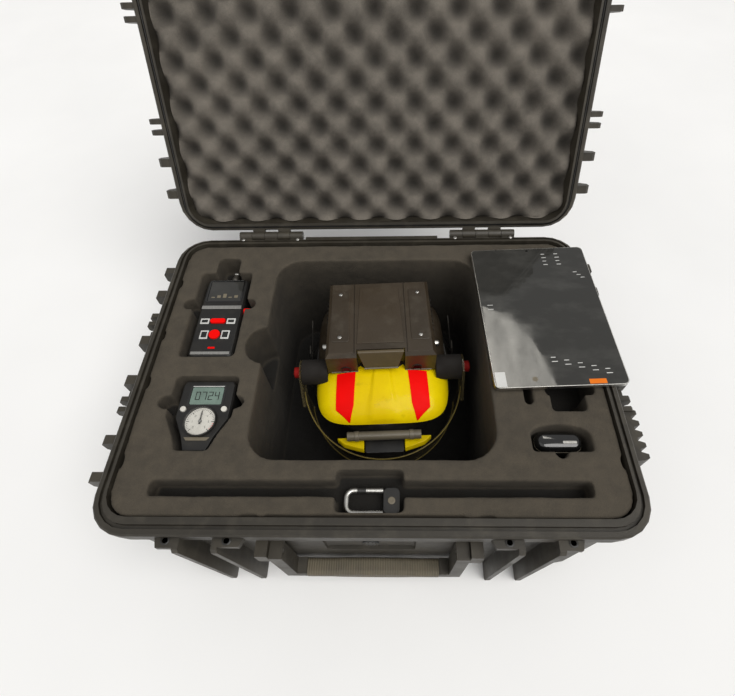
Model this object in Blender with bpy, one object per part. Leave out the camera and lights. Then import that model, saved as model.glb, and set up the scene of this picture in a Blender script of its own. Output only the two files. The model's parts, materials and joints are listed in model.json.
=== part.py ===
"""Rugged transport case, lid open, with a helmet unit, two handheld meters, a tablet and small items.

Metres, +Z up. The origin is the centre of the base's underside, +X is the case's right side as seen from
the front, and the front faces -Y. Lid parts are modelled in the closed place and turned about the hinge.
"""
from math import cos, pi, radians, sin

import bmesh
import bpy
from mathutils import Matrix, Vector

# ---------------------------------------------------------------- driving dimensions
GAP = 0.0003                # running gap between pieces that touch

SIDES = (("left", -1), ("right", 1))

RIM_W, RIM_D, RIM_R = 0.630, 0.463, 0.045      # outside of the base and lid rims
BODY_W, BODY_D = 0.612, 0.447                  # walls just under the rim
OPEN_W, OPEN_D, OPEN_R = 0.6025, 0.4316, 0.030  # inner edge of the rim
BODY_CY, OPEN_CY = 0.002, 0.005                # the opening sits a little back from the rim's centre
BASE_H = 0.218
FLANGE_H = 0.022
FLOOR_T = 0.006
CORNER_STEPS = 5
SHARP = 40                  # degrees; flatter edges are shaded smooth

HINGE_Y, HINGE_Z = 0.2405, 0.216
LID_OPEN = radians(115.5)
LID_Z0 = BASE_H + 0.0007
LID_TOP = 0.272
LID_CEILING = 0.266

FOAM_TOP = 0.2135
FOAM_BOTTOM = 0.0063
WELL_FLOOR = 0.0183
FOAM_W, FOAM_D = 0.600, 0.429

KNUCKLE_R, PIN_R = 0.007, 0.0025
KNUCKLE_X0, KNUCKLE_X1 = 0.120, 0.224
KNUCKLES = 5

PLATE_OUTER_X, PLATE_INNER_X = 0.2115, 0.1680  # latch channel plates, at rim height
PLATE_LEAN = 0.0068                            # how far they lean inwards at the foot
PLATE_T, PLATE_FRONT = 0.007, -0.2460

SIDE_CY = 0.0065                               # the side fins are symmetric about this line
FIN_TIP_X = 0.338
FIN_TOP = 0.206

HANDLE_PIVOT_Y, HANDLE_PIVOT_Z = -0.2345, 0.160
HANDLE_HALF_IN, HANDLE_HALF_OUT = 0.1015, 0.1174  # the arms' inner and outer sides
HANDLE_PIN_R = 0.0035
GRIP_HALF = 0.0886
SIDE_PIVOT_X, SIDE_PIVOT_Z = 0.326, 0.186
SIDE_HALF_IN, SIDE_HALF_OUT = 0.0425, 0.0565
SIDE_PIN_R = 0.0030
LATCH_X, LATCH_Y, LATCH_Z = 0.190, -0.2430, 0.2400
VALVE_Z, VALVE_R = 0.131, 0.0105

HELMET_AT = (0.010, 0.036)
HELMET_TURN = radians(2.4)
DOME_CY, DOME_A, DOME_B, DOME_Z0, DOME_C = 0.022, 0.101, 0.116, 0.118, 0.042
DOME_ROUND, DOME_PLAN = 2.4, 5.0                # 2 is an ellipse, more is boxier: in section and from above
DOME_T = 0.003
SHELL_LOW = 0.128
MODULE_X, MODULE_Y0, MODULE_Y1 = 0.079, -0.020, 0.118
MODULE_LOW, MODULE_TOP = 0.150, 0.200
LENS_X, LENS_Z, LENS_R = 0.052, 0.163, 0.006
VISOR_PIVOT_Y, VISOR_PIVOT_Z = -0.011, 0.146
BAR_AT = (-0.1030, 0.112)                      # y and z of the bar across the brow

GAS_X, GAS_Y = -0.2310, 0.0845
GAS_W, GAS_L = 0.066, 0.148
GAS_Z0, GAS_Z1 = 0.1605, 0.2030

GAUGE_X = -0.2195
GAUGE_Z0, GAUGE_Z1 = 0.1685, 0.2030
DIAL_Y, DIAL_R = -0.0883, 0.0195

TABLET_AT = (0.239, 0.073)
TABLET_TURN = radians(2.2)
TABLET_W, TABLET_L, TABLET_T = 0.1715, 0.245, 0.0066

REMOTE_AT, REMOTE_W, REMOTE_D = (0.2325, -0.1135), 0.058, 0.025
REMOTE_Z0, REMOTE_RIM, REMOTE_TOP = 0.1750, 0.1960, 0.2055
STRIP_SIDES = (0.2355, 0.2535, -0.1185, -0.1145)
CLIP_AT = (-0.0025, -0.1860)
CLIP_Z, CLIP_HALF = 0.1925, 0.0130              # height of the loop's bar, and half the loop's width

# ---------------------------------------------------------------- materials
COLOURS = {
    "case_plastic": ((0.045, 0.042, 0.037), 0.55, 0.0),
    "foam": ((0.080, 0.068, 0.055), 0.95, 0.0),
    "lid_foam": ((0.110, 0.100, 0.086), 0.95, 0.0),
    "rubber": ((0.020, 0.020, 0.020), 0.80, 0.0),
    "grip_rubber": ((0.160, 0.150, 0.130), 0.70, 0.0),
    "steel": ((0.600, 0.600, 0.590), 0.30, 1.0),
    "module_plastic": ((0.050, 0.038, 0.027), 0.50, 0.0),
    "module_light": ((0.150, 0.120, 0.080), 0.45, 0.0),
    "yellow": ((0.850, 0.620, 0.010), 0.25, 0.0),
    "red": ((0.800, 0.010, 0.010), 0.40, 0.0),
    "dark_plastic": ((0.012, 0.011, 0.010), 0.45, 0.0),
    "grey_bar": ((0.300, 0.280, 0.240), 0.40, 0.0),
    "clear": ((0.500, 0.480, 0.400), 0.05, 0.0),
    "silver": ((0.620, 0.610, 0.580), 0.30, 0.9),
    "screen": ((0.060, 0.065, 0.070), 0.10, 0.0),
    "lcd": ((0.180, 0.250, 0.220), 0.20, 0.0),
    "white": ((0.800, 0.790, 0.760), 0.50, 0.0),
}


def material(name):
    """The named Principled material, made once."""
    found = bpy.data.materials.get(name)
    if found:
        return found
    colour, roughness, metallic = COLOURS[name]
    made = bpy.data.materials.new(name)
    made.use_nodes = True
    shader = made.node_tree.nodes["Principled BSDF"]
    shader.inputs["Base Color"].default_value = (*colour, 1.0)
    shader.inputs["Roughness"].default_value = roughness
    shader.inputs["Metallic"].default_value = metallic
    made.diffuse_color = (*colour, 1.0)
    return made


# ---------------------------------------------------------------- outlines
def rounded(width, depth, radius, centre=(0.0, 0.0), steps=CORNER_STEPS):
    """Counter-clockwise outline of a rectangle with round corners."""
    points = []
    corners = ((1, -1, -90), (1, 1, 0), (-1, 1, 90), (-1, -1, 180))
    for sx, sy, start in corners:
        cx = centre[0] + sx * (width / 2 - radius)
        cy = centre[1] + sy * (depth / 2 - radius)
        for i in range(steps + 1):
            turn = radians(start + 90 * i / steps)
            points.append((cx + radius * cos(turn), cy + radius * sin(turn)))
    return points


def spread(x0, x1, y0, y1, radius, steps=CORNER_STEPS):
    """A rounded rectangle given by its sides."""
    return rounded(x1 - x0, y1 - y0, radius, ((x0 + x1) / 2, (y0 + y1) / 2), steps)


def ellipse(a, b, centre=(0.0, 0.0), count=32, start=0.0, end=2 * pi):
    """Points round an ellipse, or along a stretch of one."""
    whole = abs(end - start - 2 * pi) < 1e-6
    steps = count if whole else count - 1
    turns = [start + (end - start) * i / steps for i in range(count)]
    return [(centre[0] + a * cos(t), centre[1] + b * sin(t)) for t in turns]


def squarish(a, b, centre, count, power):
    """Points round a superellipse, at even angles; a power of 2 is an ellipse."""
    points = []
    for i in range(count):
        turn = 2 * pi * i / count
        reach = (abs(cos(turn)) ** power + abs(sin(turn)) ** power) ** (-1 / power)
        points.append((centre[0] + a * reach * cos(turn), centre[1] + b * reach * sin(turn)))
    return points


def at_height(outline, z):
    """A flat outline as points at one height."""
    return [(x, y, z) for x, y in outline]


# ---------------------------------------------------------------- mesh building
def loft(mesh, rings, close=False):
    """Skin between rings of equal point count, capped at both ends or joined last to first."""
    rows = [[mesh.verts.new(point) for point in ring] for ring in rings]
    pairs = list(zip(rows, rows[1:]))
    if close:
        pairs.append((rows[-1], rows[0]))
    for low, high in pairs:
        count = len(low)
        for i in range(count):
            j = (i + 1) % count
            mesh.faces.new((low[i], low[j], high[j], high[i]))
    if not close:
        mesh.faces.new(list(reversed(rows[0])))
        mesh.faces.new(rows[-1])


def prism(mesh, outline, z0, z1):
    """An upright solid of one outline."""
    loft(mesh, [at_height(outline, z0), at_height(outline, z1)])


def block(mesh, x, y, z):
    """A box from three (low, high) pairs."""
    prism(mesh, [(x[0], y[0]), (x[1], y[0]), (x[1], y[1]), (x[0], y[1])], z[0], z[1])


def rod(mesh, start, end, radius, count=16):
    """A round bar between two points."""
    start, end = Vector(start), Vector(end)
    along = (end - start).normalized()
    side = along.orthogonal().normalized()
    up = along.cross(side)
    rings = []
    for centre in (start, end):
        turns = [2 * pi * i / count for i in range(count)]
        rings.append([centre + radius * (cos(t) * side + sin(t) * up) for t in turns])
    loft(mesh, rings)


def slab_x(mesh, profile, x0, x1, lean=0.0, height=BASE_H):
    """A plate of a (y, z) profile between two x planes; lean moves its foot in x."""
    def ring(x):
        return [(x + lean * (1 - z / height), y, z) for y, z in profile]
    loft(mesh, [ring(x0), ring(x1)])


def slab_y(mesh, profile, y0, y1):
    """A plate of an (x, z) profile between two y planes."""
    loft(mesh, [[(x, y, z) for x, z in profile] for y in (y0, y1)])


def raw(name, build):
    """An object at the origin whose mesh a function fills."""
    mesh = bmesh.new()
    build(mesh)
    bmesh.ops.recalc_face_normals(mesh, faces=mesh.faces)
    data = bpy.data.meshes.new(name)
    mesh.to_mesh(data)
    mesh.free()
    made = bpy.data.objects.new(name, data)
    bpy.context.scene.collection.objects.link(made)
    return made


def combine(target, build, operation):
    """Cut a shape from the target, or add one to it, and keep the result."""
    tool = raw("tool", build)
    bpy.context.view_layer.update()
    change = target.modifiers.new("join", "BOOLEAN")
    change.object = tool
    change.operation = operation
    change.solver = "EXACT"
    seen = target.evaluated_get(bpy.context.evaluated_depsgraph_get())
    data = bpy.data.meshes.new_from_object(seen)
    target.modifiers.clear()
    target.data = data
    bpy.data.objects.remove(tool)


def solid(name, build, surface, adds=(), cuts=(), keeps=(), origin=(0.0, 0.0, 0.0), parent=None):
    """Make the named node in the case's own axes, then hang it on its origin or its parent's."""
    made = raw(name, build)
    for shapes, operation in ((adds, "UNION"), (cuts, "DIFFERENCE"), (keeps, "INTERSECT")):
        for shape in shapes:
            combine(made, shape, operation)
    made.data.transform(Matrix.Translation(-Vector(origin)))
    made.data.name = name
    made.data.materials.clear()
    made.data.materials.append(material(surface))
    made.data.shade_smooth()
    made.data.set_sharp_from_angle(angle=radians(SHARP))
    if parent:
        made.parent = parent
    else:
        made.location = origin
    return made


def pivot(name, at, turn=(0.0, 0.0, 0.0), parent=None, parent_at=(0.0, 0.0, 0.0)):
    """An empty on a joint's axis."""
    made = bpy.data.objects.new(name, None)
    made.empty_display_size = 0.02
    bpy.context.scene.collection.objects.link(made)
    made.location = Vector(at) - Vector(parent_at)
    made.rotation_euler = turn
    made.parent = parent
    return made


# ---------------------------------------------------------------- case base
def rim_rings(z_sign, z_face):
    """The rim's face: outer lip, gasket groove and inner lip. z_sign is the way the face looks."""
    groove = z_face - z_sign * 0.004
    lip = z_face - z_sign * 0.002
    return [
        at_height(rounded(RIM_W, RIM_D, RIM_R), lip),
        at_height(rounded(RIM_W - 0.004, RIM_D - 0.004, RIM_R - 0.002), z_face),
        at_height(rounded(0.617, 0.452, 0.039, (0.0, 0.002)), z_face),
        at_height(rounded(0.616, 0.451, 0.038, (0.0, 0.002)), groove),
        at_height(rounded(0.610, 0.445, 0.035, (0.0, 0.003)), groove),
        at_height(rounded(0.609, 0.444, 0.034, (0.0, 0.003)), z_face),
        at_height(rounded(OPEN_W, OPEN_D, OPEN_R, (0.0, OPEN_CY)), z_face),
    ]


def base_body(mesh):
    outside = [
        at_height(rounded(0.590, 0.433, 0.034, (0.0, BODY_CY)), 0.0),
        at_height(rounded(0.600, 0.443, 0.040, (0.0, BODY_CY)), 0.007),
        at_height(rounded(BODY_W, BODY_D, 0.042, (0.0, BODY_CY)), BASE_H - FLANGE_H - 0.008),
        at_height(rounded(RIM_W - 0.002, RIM_D - 0.002, RIM_R, (0.0, 0.0)), BASE_H - FLANGE_H),
    ]
    inside = [at_height(rounded(0.588, 0.421, 0.026, (0.0, 0.004)), FLOOR_T)]
    loft(mesh, outside + rim_rings(1, BASE_H) + inside)


def side_fin(sign, y_high, thickness, drop, tip=FIN_TIP_X, top=FIN_TOP):
    """A gusset that stands out of a side wall, under the rim."""
    profile = [(0.3035, top), (tip - 0.003, top), (tip, top - 0.004), (tip, top - drop * 0.35),
               (0.3035, top - drop)]
    profile = [(sign * x, z) for x, z in profile]
    return lambda mesh: slab_y(mesh, profile, y_high - thickness, y_high)


def side_fins(sign):
    """Fins of one side: two single fins at each end, and the double fins and cheeks of the handle."""
    made = []
    for mirror in (1, -1):
        def place(offset, thickness, drop, tip=FIN_TIP_X):
            high = SIDE_CY + mirror * offset + (0.0 if mirror > 0 else thickness)
            made.append(side_fin(sign, high, thickness, drop, tip))
        if sign < 0 or mirror > 0:
            place(0.174, 0.012, 0.050)
            place(0.126, 0.012, 0.050)
        place(0.081, 0.007, 0.035, 0.3345)
        place(0.066, 0.007, 0.035, 0.3350)
        place(0.040, 0.014, 0.060)
    return made


def grip_block(mesh):
    """Scalloped finger block on the right side, in front of the handle."""
    count, low, high = 5, -0.141, -0.0685
    step = (high - low) / count
    outline = [(0.3035, low)]
    for i in range(count):
        y = low + step * i
        outline += [(0.3285, y + step * 0.15), (0.3365, y + step * 0.35),
                    (0.3365, y + step * 0.70), (0.3285, y + step * 0.90)]
    outline.append((0.3035, high))
    prism(mesh, outline, 0.150, 0.2035)


def latch_plate(sign, x):
    """A full-height plate beside a latch channel."""
    profile = [(-0.2120, 0.0), (-0.2400, 0.0), (-0.2430, 0.004), (PLATE_FRONT, 0.204),
               (-0.2430, 0.2085), (-0.2120, 0.2085)]
    x0, x1 = sorted((sign * (x - PLATE_T / 2), sign * (x + PLATE_T / 2)))
    return lambda mesh: slab_x(mesh, profile, x0, x1, -sign * PLATE_LEAN)


def padlock_lug(sign, inner):
    """A level lug beside a plate, with a padlock hole."""
    if inner:
        outline = [(0.1660, -0.2400), (0.1660, -0.2240), (0.1330, -0.2240), (0.1410, -0.2400)]
    else:
        outline = [(0.2130, -0.2240), (0.2130, -0.2415), (0.2330, -0.2415), (0.2380, -0.2240)]
    outline = [(sign * x, y) for x, y in outline]
    return lambda mesh: prism(mesh, outline, 0.2000, 0.2085)


def padlock_hole(sign, x):
    return lambda mesh: rod(mesh, (sign * x, -0.2335, 0.190), (sign * x, -0.2335, 0.2095), 0.0032, 12)


def knuckle_span(index):
    step = (KNUCKLE_X1 - KNUCKLE_X0) / KNUCKLES
    return KNUCKLE_X0 + step * index + GAP, KNUCKLE_X0 + step * (index + 1) - GAP


def knuckle(sign, index, web_z):
    """One hinge knuckle and the web that ties it to its rim."""
    x0, x1 = sorted(sign * x for x in knuckle_span(index))

    def build_web(mesh):
        block(mesh, (x0, x1), (0.2290, HINGE_Y), web_z)

    def build_barrel(mesh):
        rod(mesh, (x0, HINGE_Y, HINGE_Z), (x1, HINGE_Y, HINGE_Z), KNUCKLE_R, 14)
    return [build_web, build_barrel]


def pin_bore(sign):
    x0, x1 = KNUCKLE_X0 - 0.002, KNUCKLE_X1 + 0.002
    return lambda mesh: rod(mesh, (sign * x0, HINGE_Y, HINGE_Z), (sign * x1, HINGE_Y, HINGE_Z),
                            PIN_R + GAP, 14)


def handle_boss(sign):
    """The front handle's pivot block, outside its arm."""
    return lambda mesh: block(mesh, tuple(sorted((sign * 0.1178, sign * 0.1320))), (-0.2440, -0.2150),
                              (HANDLE_PIVOT_Z - 0.014, HANDLE_PIVOT_Z + 0.014))


def handle_bore(sign):
    return lambda mesh: rod(mesh, (sign * 0.1000, HANDLE_PIVOT_Y, HANDLE_PIVOT_Z),
                            (sign * 0.1340, HANDLE_PIVOT_Y, HANDLE_PIVOT_Z), HANDLE_PIN_R + GAP, 12)


def side_bore(sign):
    """Bore along the pivot of a side handle, through its two cheeks."""
    return lambda mesh: rod(mesh, (sign * SIDE_PIVOT_X, SIDE_CY - 0.062, SIDE_PIVOT_Z),
                            (sign * SIDE_PIVOT_X, SIDE_CY + 0.062, SIDE_PIVOT_Z), SIDE_PIN_R + GAP, 12)


def front_recess(mesh):
    prism(mesh, spread(-0.058, 0.056, -0.2300, -0.2165, 0.004, 2), 0.100, 0.160)


def stop_block(mesh):
    """Block between the hinges that closes the gap behind the rim."""
    block(mesh, (-0.116, 0.100), (0.2280, 0.2400), (0.199, 0.2135))


def make_base():
    adds = [stop_block]
    cuts = [front_recess, valve_seat]
    for sign in (-1, 1):
        adds += side_fins(sign)
        adds += [latch_plate(sign, PLATE_OUTER_X), latch_plate(sign, PLATE_INNER_X)]
        adds += [padlock_lug(sign, True), padlock_lug(sign, False), handle_boss(sign)]
        for index in range(0, KNUCKLES, 2):
            adds += knuckle(sign, index, (0.2095, 0.2165))
        cuts += [padlock_hole(sign, 0.1550), padlock_hole(sign, 0.2235)]
        cuts += [pin_bore(sign), handle_bore(sign), side_bore(sign)]
    adds.append(grip_block)
    solid("base_shell", base_body, "case_plastic", adds, cuts)


def valve_seat(mesh):
    rod(mesh, (0.0, -0.2220, VALVE_Z), (0.0, -0.2135, VALVE_Z), VALVE_R + GAP, 20)


def valve_body(mesh):
    rod(mesh, (0.0, -0.2205, VALVE_Z), (0.0, -0.2138, VALVE_Z), VALVE_R, 20)


def make_base_hardware():
    def pin(start, end, radius):
        return lambda mesh: rod(mesh, start, end, radius, 12)

    for side, sign in SIDES:
        front = (HANDLE_PIVOT_Y, HANDLE_PIVOT_Z)
        solid("hinge_pin_" + side, pin((sign * KNUCKLE_X0, HINGE_Y, HINGE_Z),
                                       (sign * KNUCKLE_X1, HINGE_Y, HINGE_Z), PIN_R), "steel")
        solid("front_handle_pin_" + side, pin((sign * 0.1020, *front), (sign * 0.1320, *front),
                                              HANDLE_PIN_R), "steel")
        solid("side_handle_pin_" + side, pin((sign * SIDE_PIVOT_X, SIDE_CY - 0.060, SIDE_PIVOT_Z),
                                             (sign * SIDE_PIVOT_X, SIDE_CY + 0.060, SIDE_PIVOT_Z),
                                             SIDE_PIN_R), "steel")
    solid("pressure_valve", valve_body, "dark_plastic")


# ---------------------------------------------------------------- handles
def make_front_handle():
    at = (0.0, HANDLE_PIVOT_Y, HANDLE_PIVOT_Z)

    def frame(mesh):
        block(mesh, (-HANDLE_HALF_OUT, HANDLE_HALF_OUT), (-0.2450, -0.2240), (0.045, 0.1665))

    def inside(mesh):
        block(mesh, (-HANDLE_HALF_IN, HANDLE_HALF_IN), (-0.26, -0.21), (0.064, 0.18))

    def slim(y, z):
        """Thins the bar where the grip goes round it."""
        return lambda mesh: block(mesh, (-GRIP_HALF - GAP, GRIP_HALF + GAP), y, z)

    def bores(mesh):
        rod(mesh, (-0.13, at[1], at[2]), (0.13, at[1], at[2]), HANDLE_PIN_R + GAP, 12)

    def grip(mesh):
        rings = []
        for x, swell in ((-GRIP_HALF, 0.0), (-0.055, 0.0), (-0.040, 0.003), (0.0, 0.004), (0.040, 0.003),
                         (0.055, 0.0), (GRIP_HALF, 0.0)):
            outline = spread(-0.2462, -0.2238, 0.0445 - swell, 0.0650 + swell, 0.006, 3)
            rings.append([(x, y, z) for y, z in outline])
        loft(mesh, rings)

    def grip_bore(mesh):
        block(mesh, (-0.1, 0.1), (-0.2420 - GAP, -0.2280 + GAP), (0.0478 - GAP, 0.0612 + GAP))

    hub = pivot("front_handle_axis", at)
    thinned = [slim((-0.26, -0.21), (0.040, 0.0478)), slim((-0.26, -0.21), (0.0612, 0.070)),
               slim((-0.26, -0.2420), (0.046, 0.063)), slim((-0.2280, -0.21), (0.046, 0.063))]
    solid("front_handle_frame", frame, "case_plastic", cuts=[inside, bores] + thinned, origin=at, parent=hub)
    solid("front_handle_grip", grip, "grip_rubber", cuts=[grip_bore], origin=at, parent=hub)


def make_side_handle(name, sign):
    """A U-shaped handle that hangs against the side wall between its two cheeks."""
    at = (sign * SIDE_PIVOT_X, SIDE_CY, SIDE_PIVOT_Z)

    def arm(mesh):
        block(mesh, tuple(sorted((sign * 0.3185, sign * 0.3325))),
              (SIDE_CY - SIDE_HALF_OUT, SIDE_CY + SIDE_HALF_OUT), (0.106, 0.1925))

    def inside(mesh):
        block(mesh, tuple(sorted((sign * 0.30, sign * 0.35))),
              (SIDE_CY - SIDE_HALF_IN, SIDE_CY + SIDE_HALF_IN), (0.126, 0.20))

    def bore(mesh):
        rod(mesh, (at[0], SIDE_CY - 0.065, at[2]), (at[0], SIDE_CY + 0.065, at[2]), SIDE_PIN_R + GAP, 12)

    hub = pivot(name + "_axis", at)
    solid(name, arm, "case_plastic", cuts=[inside, bore], origin=at, parent=hub)


# ---------------------------------------------------------------- lid
def make_lid():
    at = (0.0, HINGE_Y, HINGE_Z)
    hub = pivot("lid_axis", at, (-LID_OPEN, 0.0, 0.0))

    def body(mesh):
        outside = [
            at_height(rounded(0.592, 0.427, 0.034, (0.0, BODY_CY)), LID_TOP),
            at_height(rounded(0.602, 0.437, 0.040, (0.0, BODY_CY)), LID_TOP - 0.006),
            at_height(rounded(BODY_W, BODY_D, 0.042, (0.0, BODY_CY)), LID_Z0 + 0.026),
            at_height(rounded(RIM_W - 0.002, RIM_D - 0.002, RIM_R), LID_Z0 + 0.018),
        ]
        inside = [at_height(rounded(0.590, 0.419, 0.026, (0.0, OPEN_CY)), LID_CEILING)]
        loft(mesh, outside + rim_rings(-1, LID_Z0) + inside)

    def lid_fin(sign, y_high, thickness):
        profile = [(0.3035, 0.2235), (0.3300, 0.2235), (0.3345, 0.2270), (0.3345, 0.2380), (0.3035, 0.2640)]
        profile = [(sign * x, z) for x, z in profile]
        return lambda mesh: slab_y(mesh, profile, y_high - thickness, y_high)

    def latch_lug(sign, x):
        profile = [(-0.2180, 0.2235), (-0.2500, 0.2300), (-0.2510, 0.2500), (-0.2180, 0.2640)]
        return lambda mesh: slab_x(mesh, profile, *sorted((sign * x, sign * (x + 0.006))))

    def lug_bore(sign):
        return lambda mesh: rod(mesh, (sign * 0.160, LATCH_Y, LATCH_Z), (sign * 0.220, LATCH_Y, LATCH_Z),
                                PIN_R + GAP, 12)

    adds, cuts = [], []
    for sign in (-1, 1):
        for offset, thickness in ((0.174, 0.012), (0.126, 0.012), (0.081, 0.007), (0.066, 0.007)):
            adds.append(lid_fin(sign, SIDE_CY + offset, thickness))
            adds.append(lid_fin(sign, SIDE_CY - offset + thickness, thickness))
        adds += [latch_lug(sign, 0.1665), latch_lug(sign, 0.2075)]
        for index in range(1, KNUCKLES, 2):
            adds += knuckle(sign, index, (0.2190, 0.2236))
        cuts += [pin_bore(sign), lug_bore(sign)]
    solid("lid_shell", body, "case_plastic", adds, cuts, origin=at, parent=hub)

    def foam(mesh):
        loft(mesh, [at_height(rounded(0.5985, 0.4275, 0.027, (0.0, OPEN_CY)), LID_Z0 + 0.004),
                    at_height(rounded(0.5890, 0.4180, 0.025, (0.0, OPEN_CY)), LID_CEILING - GAP)])

    def gasket(mesh):
        low, high = LID_Z0 + GAP, LID_Z0 + 0.0036
        outer = rounded(0.6148, 0.4498, 0.0374, (0.0, 0.002))
        inner = rounded(0.6112, 0.4462, 0.0356, (0.0, 0.003))
        loft(mesh, [at_height(outer, low), at_height(outer, high), at_height(inner, high),
                    at_height(inner, low)], close=True)

    solid("lid_foam", foam, "lid_foam", origin=at, parent=hub)
    solid("lid_gasket", gasket, "rubber", origin=at, parent=hub)

    def latch_pin(sign):
        return lambda mesh: rod(mesh, (sign * 0.1668, LATCH_Y, LATCH_Z), (sign * 0.2132, LATCH_Y, LATCH_Z),
                                PIN_R, 12)

    for side, sign in SIDES:
        solid("latch_pin_" + side, latch_pin(sign), "steel", origin=at, parent=hub)
        make_latch("latch_" + side, sign, hub, at)


def make_latch(name, sign, lid, lid_at):
    """A draw latch that hangs from the lid's front edge over the base's channel."""
    at = (sign * LATCH_X, LATCH_Y, LATCH_Z)

    def lever(mesh):
        profile = [(-0.2390, 0.1700), (-0.2480, 0.1690), (-0.2500, 0.1760), (-0.2480, 0.2020),
                   (-0.2495, 0.2390), (-0.2470, 0.2460), (-0.2400, 0.2460), (-0.2375, 0.2390),
                   (-0.2420, 0.2020)]
        slab_x(mesh, profile, at[0] - 0.0170, at[0] + 0.0170)

    def bore(mesh):
        rod(mesh, (at[0] - 0.03, LATCH_Y, LATCH_Z), (at[0] + 0.03, LATCH_Y, LATCH_Z), PIN_R + GAP, 12)

    hub = pivot(name + "_axis", at, parent=lid, parent_at=lid_at)
    solid(name, lever, "case_plastic", cuts=[bore], origin=at, parent=hub)


# ---------------------------------------------------------------- foam insert
def foam_block(mesh):
    loft(mesh, [at_height(rounded(0.5850, 0.4180, 0.024, (0.0, 0.004)), FOAM_BOTTOM),
                at_height(rounded(FOAM_W, FOAM_D, 0.029, (0.0, OPEN_CY)), FOAM_TOP)])


def pocket(outline, bottom, top=FOAM_TOP + 0.01):
    return lambda mesh: prism(mesh, outline, bottom, top)


def gas_pocket():
    return [
        pocket(spread(-0.2695, -0.1925, 0.0065, 0.1625, 0.004, 2), GAS_Z0 - GAP),
        pocket(spread(-0.2490, -0.2150, 0.1500, 0.1930, 0.006, 2), 0.1750),
        pocket(spread(-0.2850, -0.1770, 0.0910, 0.1090, 0.009, 3), 0.1850),
    ]


def gauge_pocket():
    body = [(dx * 1.08, y) for dx, y in gauge_outline(0.0035)]
    return [
        pocket([(GAUGE_X + dx, y) for dx, y in body], GAUGE_Z0 - GAP),
        pocket(spread(-0.2780, -0.1650, -0.0730, -0.0550, 0.009, 3), 0.1850),
    ]


def remote_pocket():
    x, y = REMOTE_AT
    arc = ellipse(0.0365, 0.0140, (x, -0.1105), 13, 0.0, pi)
    outline = [(x - 0.0365, -0.1315), (x + 0.0365, -0.1315)] + arc
    return [pocket(outline, 0.1745), pocket(ellipse(0.008, 0.008, (0.2300, -0.1315), 16), 0.1900)]


def make_foam():
    cuts = [
        pocket(spread(-0.152, 0.155, -0.142, 0.186, 0.038, 6), WELL_FLOOR),
        pocket(ellipse(0.027, 0.030, (-0.1520, 0.0260), 20), 0.1300),
        pocket(spread(-0.2575, 0.2575, -0.1854, -0.1672, 0.002, 1), 0.1850),
        pocket(spread(-0.0380, 0.0405, -0.2030, -0.1542, 0.002, 1), 0.1850),
        pocket(spread(0.2297, 0.2732, -0.0773, 0.0100, 0.003, 2), 0.1700),
        pocket(spread(0.2248, 0.2873, -0.0540, 0.0100, 0.003, 2), 0.1700),
        pocket(spread(0.1965, 0.2075, -0.0674, 0.0100, 0.004, 2), 0.1850),
    ]
    cuts += gas_pocket() + gauge_pocket() + remote_pocket()
    for x0, x1 in ((-0.1460, -0.1230), (0.1240, 0.1430), (-0.1180, 0.1100)):
        cuts.append(pocket(spread(x0, x1, -0.2130, -0.2068, 0.001, 1), 0.2050))
    for sign in (-1, 1):
        for y in (0.1400, 0.0420, -0.0350, -0.1450):
            x0, x1 = sorted((sign * 0.3020, sign * 0.2968))
            cuts.append(pocket(spread(x0, x1, y - 0.008, y + 0.008, 0.001, 1), 0.2050))
    solid("foam_insert", foam_block, "foam", cuts=cuts)


# ---------------------------------------------------------------- helmet unit
def dome_rings(grow, z_low, plan=DOME_PLAN, turns=32, steps=5):
    """Rings of the helmet's dome from a low edge to near the crown; grow offsets the surface."""
    a, b, c = DOME_A + grow, DOME_B + grow, DOME_C + grow
    first = (z_low - DOME_Z0) / c
    rings = []
    for i in range(steps + 1):
        rise = first + (0.97 - first) * sin(pi / 2 * i / steps)
        width = (1 - max(rise, 0.0) ** DOME_ROUND) ** (1 / DOME_ROUND)
        outline = squarish(a * width, b * width, (0.0, DOME_CY), turns, plan)
        rings.append(at_height(outline, DOME_Z0 + c * rise))
    return rings


def make_helmet():
    hub = pivot("helmet_axis", (*HELMET_AT, 0.0), (0.0, 0.0, HELMET_TURN))

    def shell(mesh):
        outer = dome_rings(0.0, SHELL_LOW)
        inner = dome_rings(-DOME_T, SHELL_LOW)
        loft(mesh, list(reversed(inner)) + outer)

    def liner(mesh):
        low = 0.1005
        outer = dome_rings(-DOME_T - 0.001, low, 2.0, 24)
        inner = dome_rings(-DOME_T - 0.013, low, 2.0, 24)
        loft(mesh, list(reversed(inner)) + outer)

    def band(mesh):
        rings = []
        for a, b, z in ((0.0865, 0.0985, 0.094), (0.108, 0.113, 0.094), (0.116, 0.120, 0.102),
                        (0.112, 0.117, 0.114), (0.1030, 0.1155, 0.1265), (0.1000, 0.1130, 0.1265),
                        (0.1000, 0.1130, 0.100), (0.0865, 0.0985, 0.100)):
            rings.append(at_height(ellipse(a, b, (0.0, DOME_CY), 32), z))
        loft(mesh, rings, close=True)

    def skirt(mesh):
        rings = []
        low, high = WELL_FLOOR + GAP, 0.0935
        for a, b, z in ((0.092, 0.104, low), (0.104, 0.110, high), (0.098, 0.104, high), (0.086, 0.098, low)):
            rings.append(at_height(ellipse(a, b, (0.0, DOME_CY), 28), z))
        loft(mesh, rings, close=True)

    solid("helmet_shell", shell, "yellow", parent=hub)
    solid("helmet_liner", liner, "dark_plastic", parent=hub)
    solid("helmet_rim_band", band, "dark_plastic", parent=hub)
    solid("helmet_skirt", skirt, "rubber", parent=hub)
    make_module(hub)
    make_face_parts(hub)
    make_visor(hub)


def dome_cut(grow):
    """The solid under the dome, grown a little, for parts that sit on it."""
    rings = dome_rings(grow, SHELL_LOW)
    foot = [(x, y, 0.05) for x, y, z in rings[0]]
    return lambda mesh: loft(mesh, [foot] + rings)


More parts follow.
